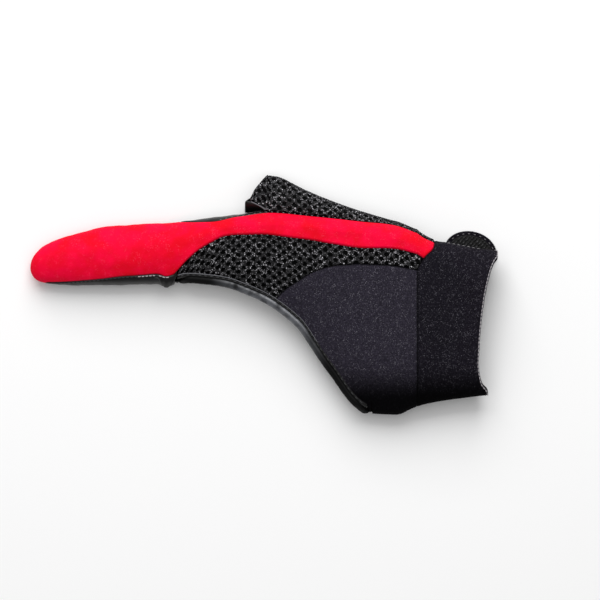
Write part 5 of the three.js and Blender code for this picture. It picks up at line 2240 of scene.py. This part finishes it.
@dataclass
class ClosureStrap:
    """The strap across the wrist, its round tab and its hook tape."""

    form: GloveForm
    finishes: Wardrobe
    width: float = 22.0
    length: float = 60.0
    thickness: float = 2.0
    tilt: float = 0.23
    reach: float = 8.0
    tab_width: float = 27.6
    tab_set_out: float = 0.25
    shoulder: float = 5.0
    margin: float = 2.2
    edge_radius: float = 0.9
    groove: float = 0.18
    groove_inset: float = 1.7
    station: float = 2.665
    tape_lift: float = 0.15
    tape_base: float = 0.25
    rib_height: float = 0.55
    rib_pitch: float = 1.6
    notch_pitch: float = 2.9
    slant: tuple[float, float] = (0.87, 0.5)
    stitch_inset: float = 1.45
    stitch: Stitch = Stitch(3.0, 1.2, 0.2)

    def _half_width(self, along: Array, margin: float) -> Array:
        """Measures the outline.

        Args:
            along: Places along the strap.
            margin: How far inside the strap's own outline.

        Returns:
            Half the outline's width at each place.
        """
        body, tab = self.width / 2 - margin, self.tab_width / 2 - margin
        neck = smooth(along, self.tab_set_out - self.shoulder, self.tab_set_out)
        past = np.clip((along - self.tab_set_out) / (body - self.tab_set_out), 0, 1)
        return (body + (tab - body) * neck) * np.sqrt(1 - past**2)

    def _flat(self, margin: float, rows: int, columns: int) -> tuple[Array, Array]:
        """Makes a flat grid inside the strap's outline.

        Args:
            margin: How far inside the strap's own outline.
            rows: Rows up to the tab's widest place, where half as many more begin.
            columns: Columns across.

        Returns:
            The coordinates across and along the strap.
        """
        foot = self.width / 2 + margin - self.length
        body = self.width / 2 - margin
        straight = np.linspace(foot, self.tab_set_out, rows)[:-1]
        angle = np.linspace(0, math.pi / 2 * 0.99, rows // 2)
        end = self.tab_set_out + (body - self.tab_set_out) * np.sin(angle)
        along = np.concatenate([straight, end])[:, None]
        across = np.linspace(-1, 1, columns)[None, :] * self._half_width(along, margin)
        return across, np.broadcast_to(along, across.shape)

    def _placed(self, across: Array, along: Array, height: Array) -> Array:
        """Brings points of the flat strap into the glove's own frame.

        Args:
            across: Places across the strap.
            along: Places along it.
            height: Heights over the floor.

        Returns:
            The points.
        """
        e = self.form.sides(np.array([self.station]))
        x0 = lengthwise(self.station)
        y0 = e["radial"][0] + self.reach - self.width / 2
        c, s = math.cos(-self.tilt), math.sin(-self.tilt)
        place = (x0 + across * c - along * s, y0 + across * s + along * c)
        return np.stack(np.broadcast_arrays(*place, height), axis=-1)

    def _rim_distance(self, across: Array, along: Array, margin: float) -> Array:
        """Measures about how far each place is from the outline.

        Args:
            across: Places across the strap.
            along: Places along it.
            margin: How far inside the strap's own outline the measured one lies.

        Returns:
            The distances.
        """
        body = self.width / 2 - margin
        past = np.maximum(along - self.tab_set_out, 0) / (body - self.tab_set_out)
        wide = self.tab_width / 2 - margin
        tip = (1 - np.hypot(across / wide, past)) * (body - self.tab_set_out)
        sides = self._half_width(along, margin) - np.abs(across)
        foot = along + self.length - self.width / 2 - margin
        return np.minimum(np.where(along > self.tab_set_out, tip, sides), foot)

    def web(self) -> None:
        """Builds and dresses the strap itself, with a smooth rolled edge."""
        across, along = self._flat(0, rows=80, columns=51)
        rim = self._rim_distance(across, along, 0)
        inward = 1 - np.clip(rim / self.edge_radius, 0, 1)
        swell = self.edge_radius * np.sqrt(1 - inward**2)
        top = self.thickness - self.edge_radius + swell
        top -= self.groove * hump(rim, self.groove_inset, 0.3)
        bottom = (self.edge_radius - swell) * 0.95
        solid = Solid()
        outer, inner = (self._placed(across, along, h)[:, ::-1] for h in (top, bottom))
        solid.add_shell(outer, inner, seam=np.full(rim.shape, AWAY))
        dress(solid.build("strap_web"), self.finishes.strap, Slot.STRAP, "closure_strap")

    def tape(self) -> None:
        """Builds and dresses the hook tape, ribbed aslant."""
        across, along = self._flat(self.margin, rows=330, columns=150)
        rim = self._rim_distance(across, along, self.margin)
        over, back = self.slant
        slant, comb = across * over - along * back, across * back + along * over
        ribs = (0.5 + 0.5 * np.sin(slant * 2 * math.pi / self.rib_pitch)) ** 2
        notches = 0.6 + 0.4 * np.sin(comb * 2 * math.pi / self.notch_pitch)
        rib = ribs * notches * smooth(rim, 0.1, 0.6)
        low = self.thickness + self.tape_lift
        heights = (low + self.tape_base + self.rib_height * rib, low + 0 * rib)
        solid = Solid()
        outer, inner = (self._placed(across, along, h)[:, ::-1] for h in heights)
        # The rib heights also set the painted highlight on the crests.
        solid.add_sheet(outer, inner, thread=rib[:, ::-1])
        dress(solid.build("strap_hook_tape"), self.finishes.hook, Slot.HOOK, "hook_patch")

    def stitches(self) -> None:
        """Builds and dresses the stitches round the tab's end."""
        count = 90
        angle = np.linspace(0.05, math.pi - 0.05, count)
        wide = self.tab_width / 2 - self.stitch_inset
        tall = self.width / 2 - self.stitch_inset - self.tab_set_out
        line = (wide * np.cos(angle), self.tab_set_out + tall * np.sin(angle))
        path = self._placed(*line, np.full(count, self.thickness + 0.02))
        row = self.stitch.row("strap_thread", path, np.tile([0.0, 0, 1], (count, 1)))
        dress(row, self.finishes.grey_thread, Slot.STRAP)

    def build(self) -> None:
        """Builds every piece."""
        self.web()
        self.tape()
        self.stitches()


@dataclass(frozen=True)
class Lamp:
    """A square soft light that looks at the glove; places and sizes in metres."""

    name: str
    place: tuple[float, float, float]
    size: float
    power: float

    def hang(self) -> None:
        """Adds the light."""
        data = bpy.data.lights.new(self.name, "AREA")
        data.size, data.energy = self.size, self.power
        thing = linked(self.name, data)
        thing.location = self.place
        thing.rotation_mode = "QUATERNION"
        thing.rotation_quaternion = (-Vector(self.place)).to_track_quat("-Z", "Y")


@dataclass
class Studio:
    """The floor, the lights and the camera straight overhead, in metres."""

    camera_height: float = 4.012
    focus_height: float = 0.012
    frame_width: float = 0.312
    frame_centre: tuple[float, float] = (0.01876, -0.00299)
    floor_reach: float = 3.0
    floor_drop: float = 0.0002
    key: Lamp = Lamp("key", (-0.1, 1.25, 1.15), 1.5, 29)
    top: Lamp = Lamp("top", (0.0, 0.12, 2.0), 1.8, 14)
    room: float = 0.25

    def floor(self) -> None:
        """Adds the pale floor."""
        mesh = bpy.data.meshes.new("floor")
        reach = self.floor_reach
        corners = [(-reach, -reach, 0), (reach, -reach, 0), (reach, reach, 0), (-reach, reach, 0)]
        mesh.from_pydata(corners, [], [(0, 1, 2, 3)])
        thing = linked("floor", mesh)
        thing.location.z = -self.floor_drop
        shader = Shader("pale_floor")
        thing.data.materials.append(
            shader.finish(Base_Color=(0.94, 0.94, 0.94, 1), Roughness=0.9, Specular_IOR_Level=0.1)
        )

    def lights(self) -> None:
        """Adds a key from the thumb side, a light overhead and a dim room."""
        self.key.hang()
        self.top.hang()
        world = bpy.data.worlds.new("room")
        world.use_nodes = True
        background = world.node_tree.nodes["Background"]
        background.inputs["Color"].default_value = (1, 1, 1, 1)
        background.inputs["Strength"].default_value = self.room
        bpy.context.scene.world = world

    def camera(self) -> None:
        """Adds the camera, looking straight down."""
        data = bpy.data.cameras.new("overhead")
        distance = self.camera_height - self.focus_height
        data.lens = data.sensor_width * distance / self.frame_width
        data.clip_end = 20
        thing = linked("overhead", data)
        thing.location = (*self.frame_centre, self.camera_height)
        bpy.context.scene.camera = thing

    def build(self) -> None:
        """Builds the set."""
        bpy.context.scene.view_settings.view_transform = "Standard"
        self.floor()
        self.lights()
        self.camera()


HAND_PARTS = (IndexSleeve, KnuckleMesh, ThumbSleeve, BackPanel, OpeningBinding)
WRIST_PARTS = (WristCuff, ClosureStrap)


def main() -> None:
    """Builds the set and every part of the glove, in order."""
    logging.basicConfig(level=logging.INFO, format="%(name)s: %(message)s")
    Studio().build()
    form, finishes = GloveForm(), Wardrobe()
    for part in HAND_PARTS + WRIST_PARTS:
        log.info("building %s", part.__name__)
        part(form, finishes).build()
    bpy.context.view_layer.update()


if __name__ == "__main__":
    main()
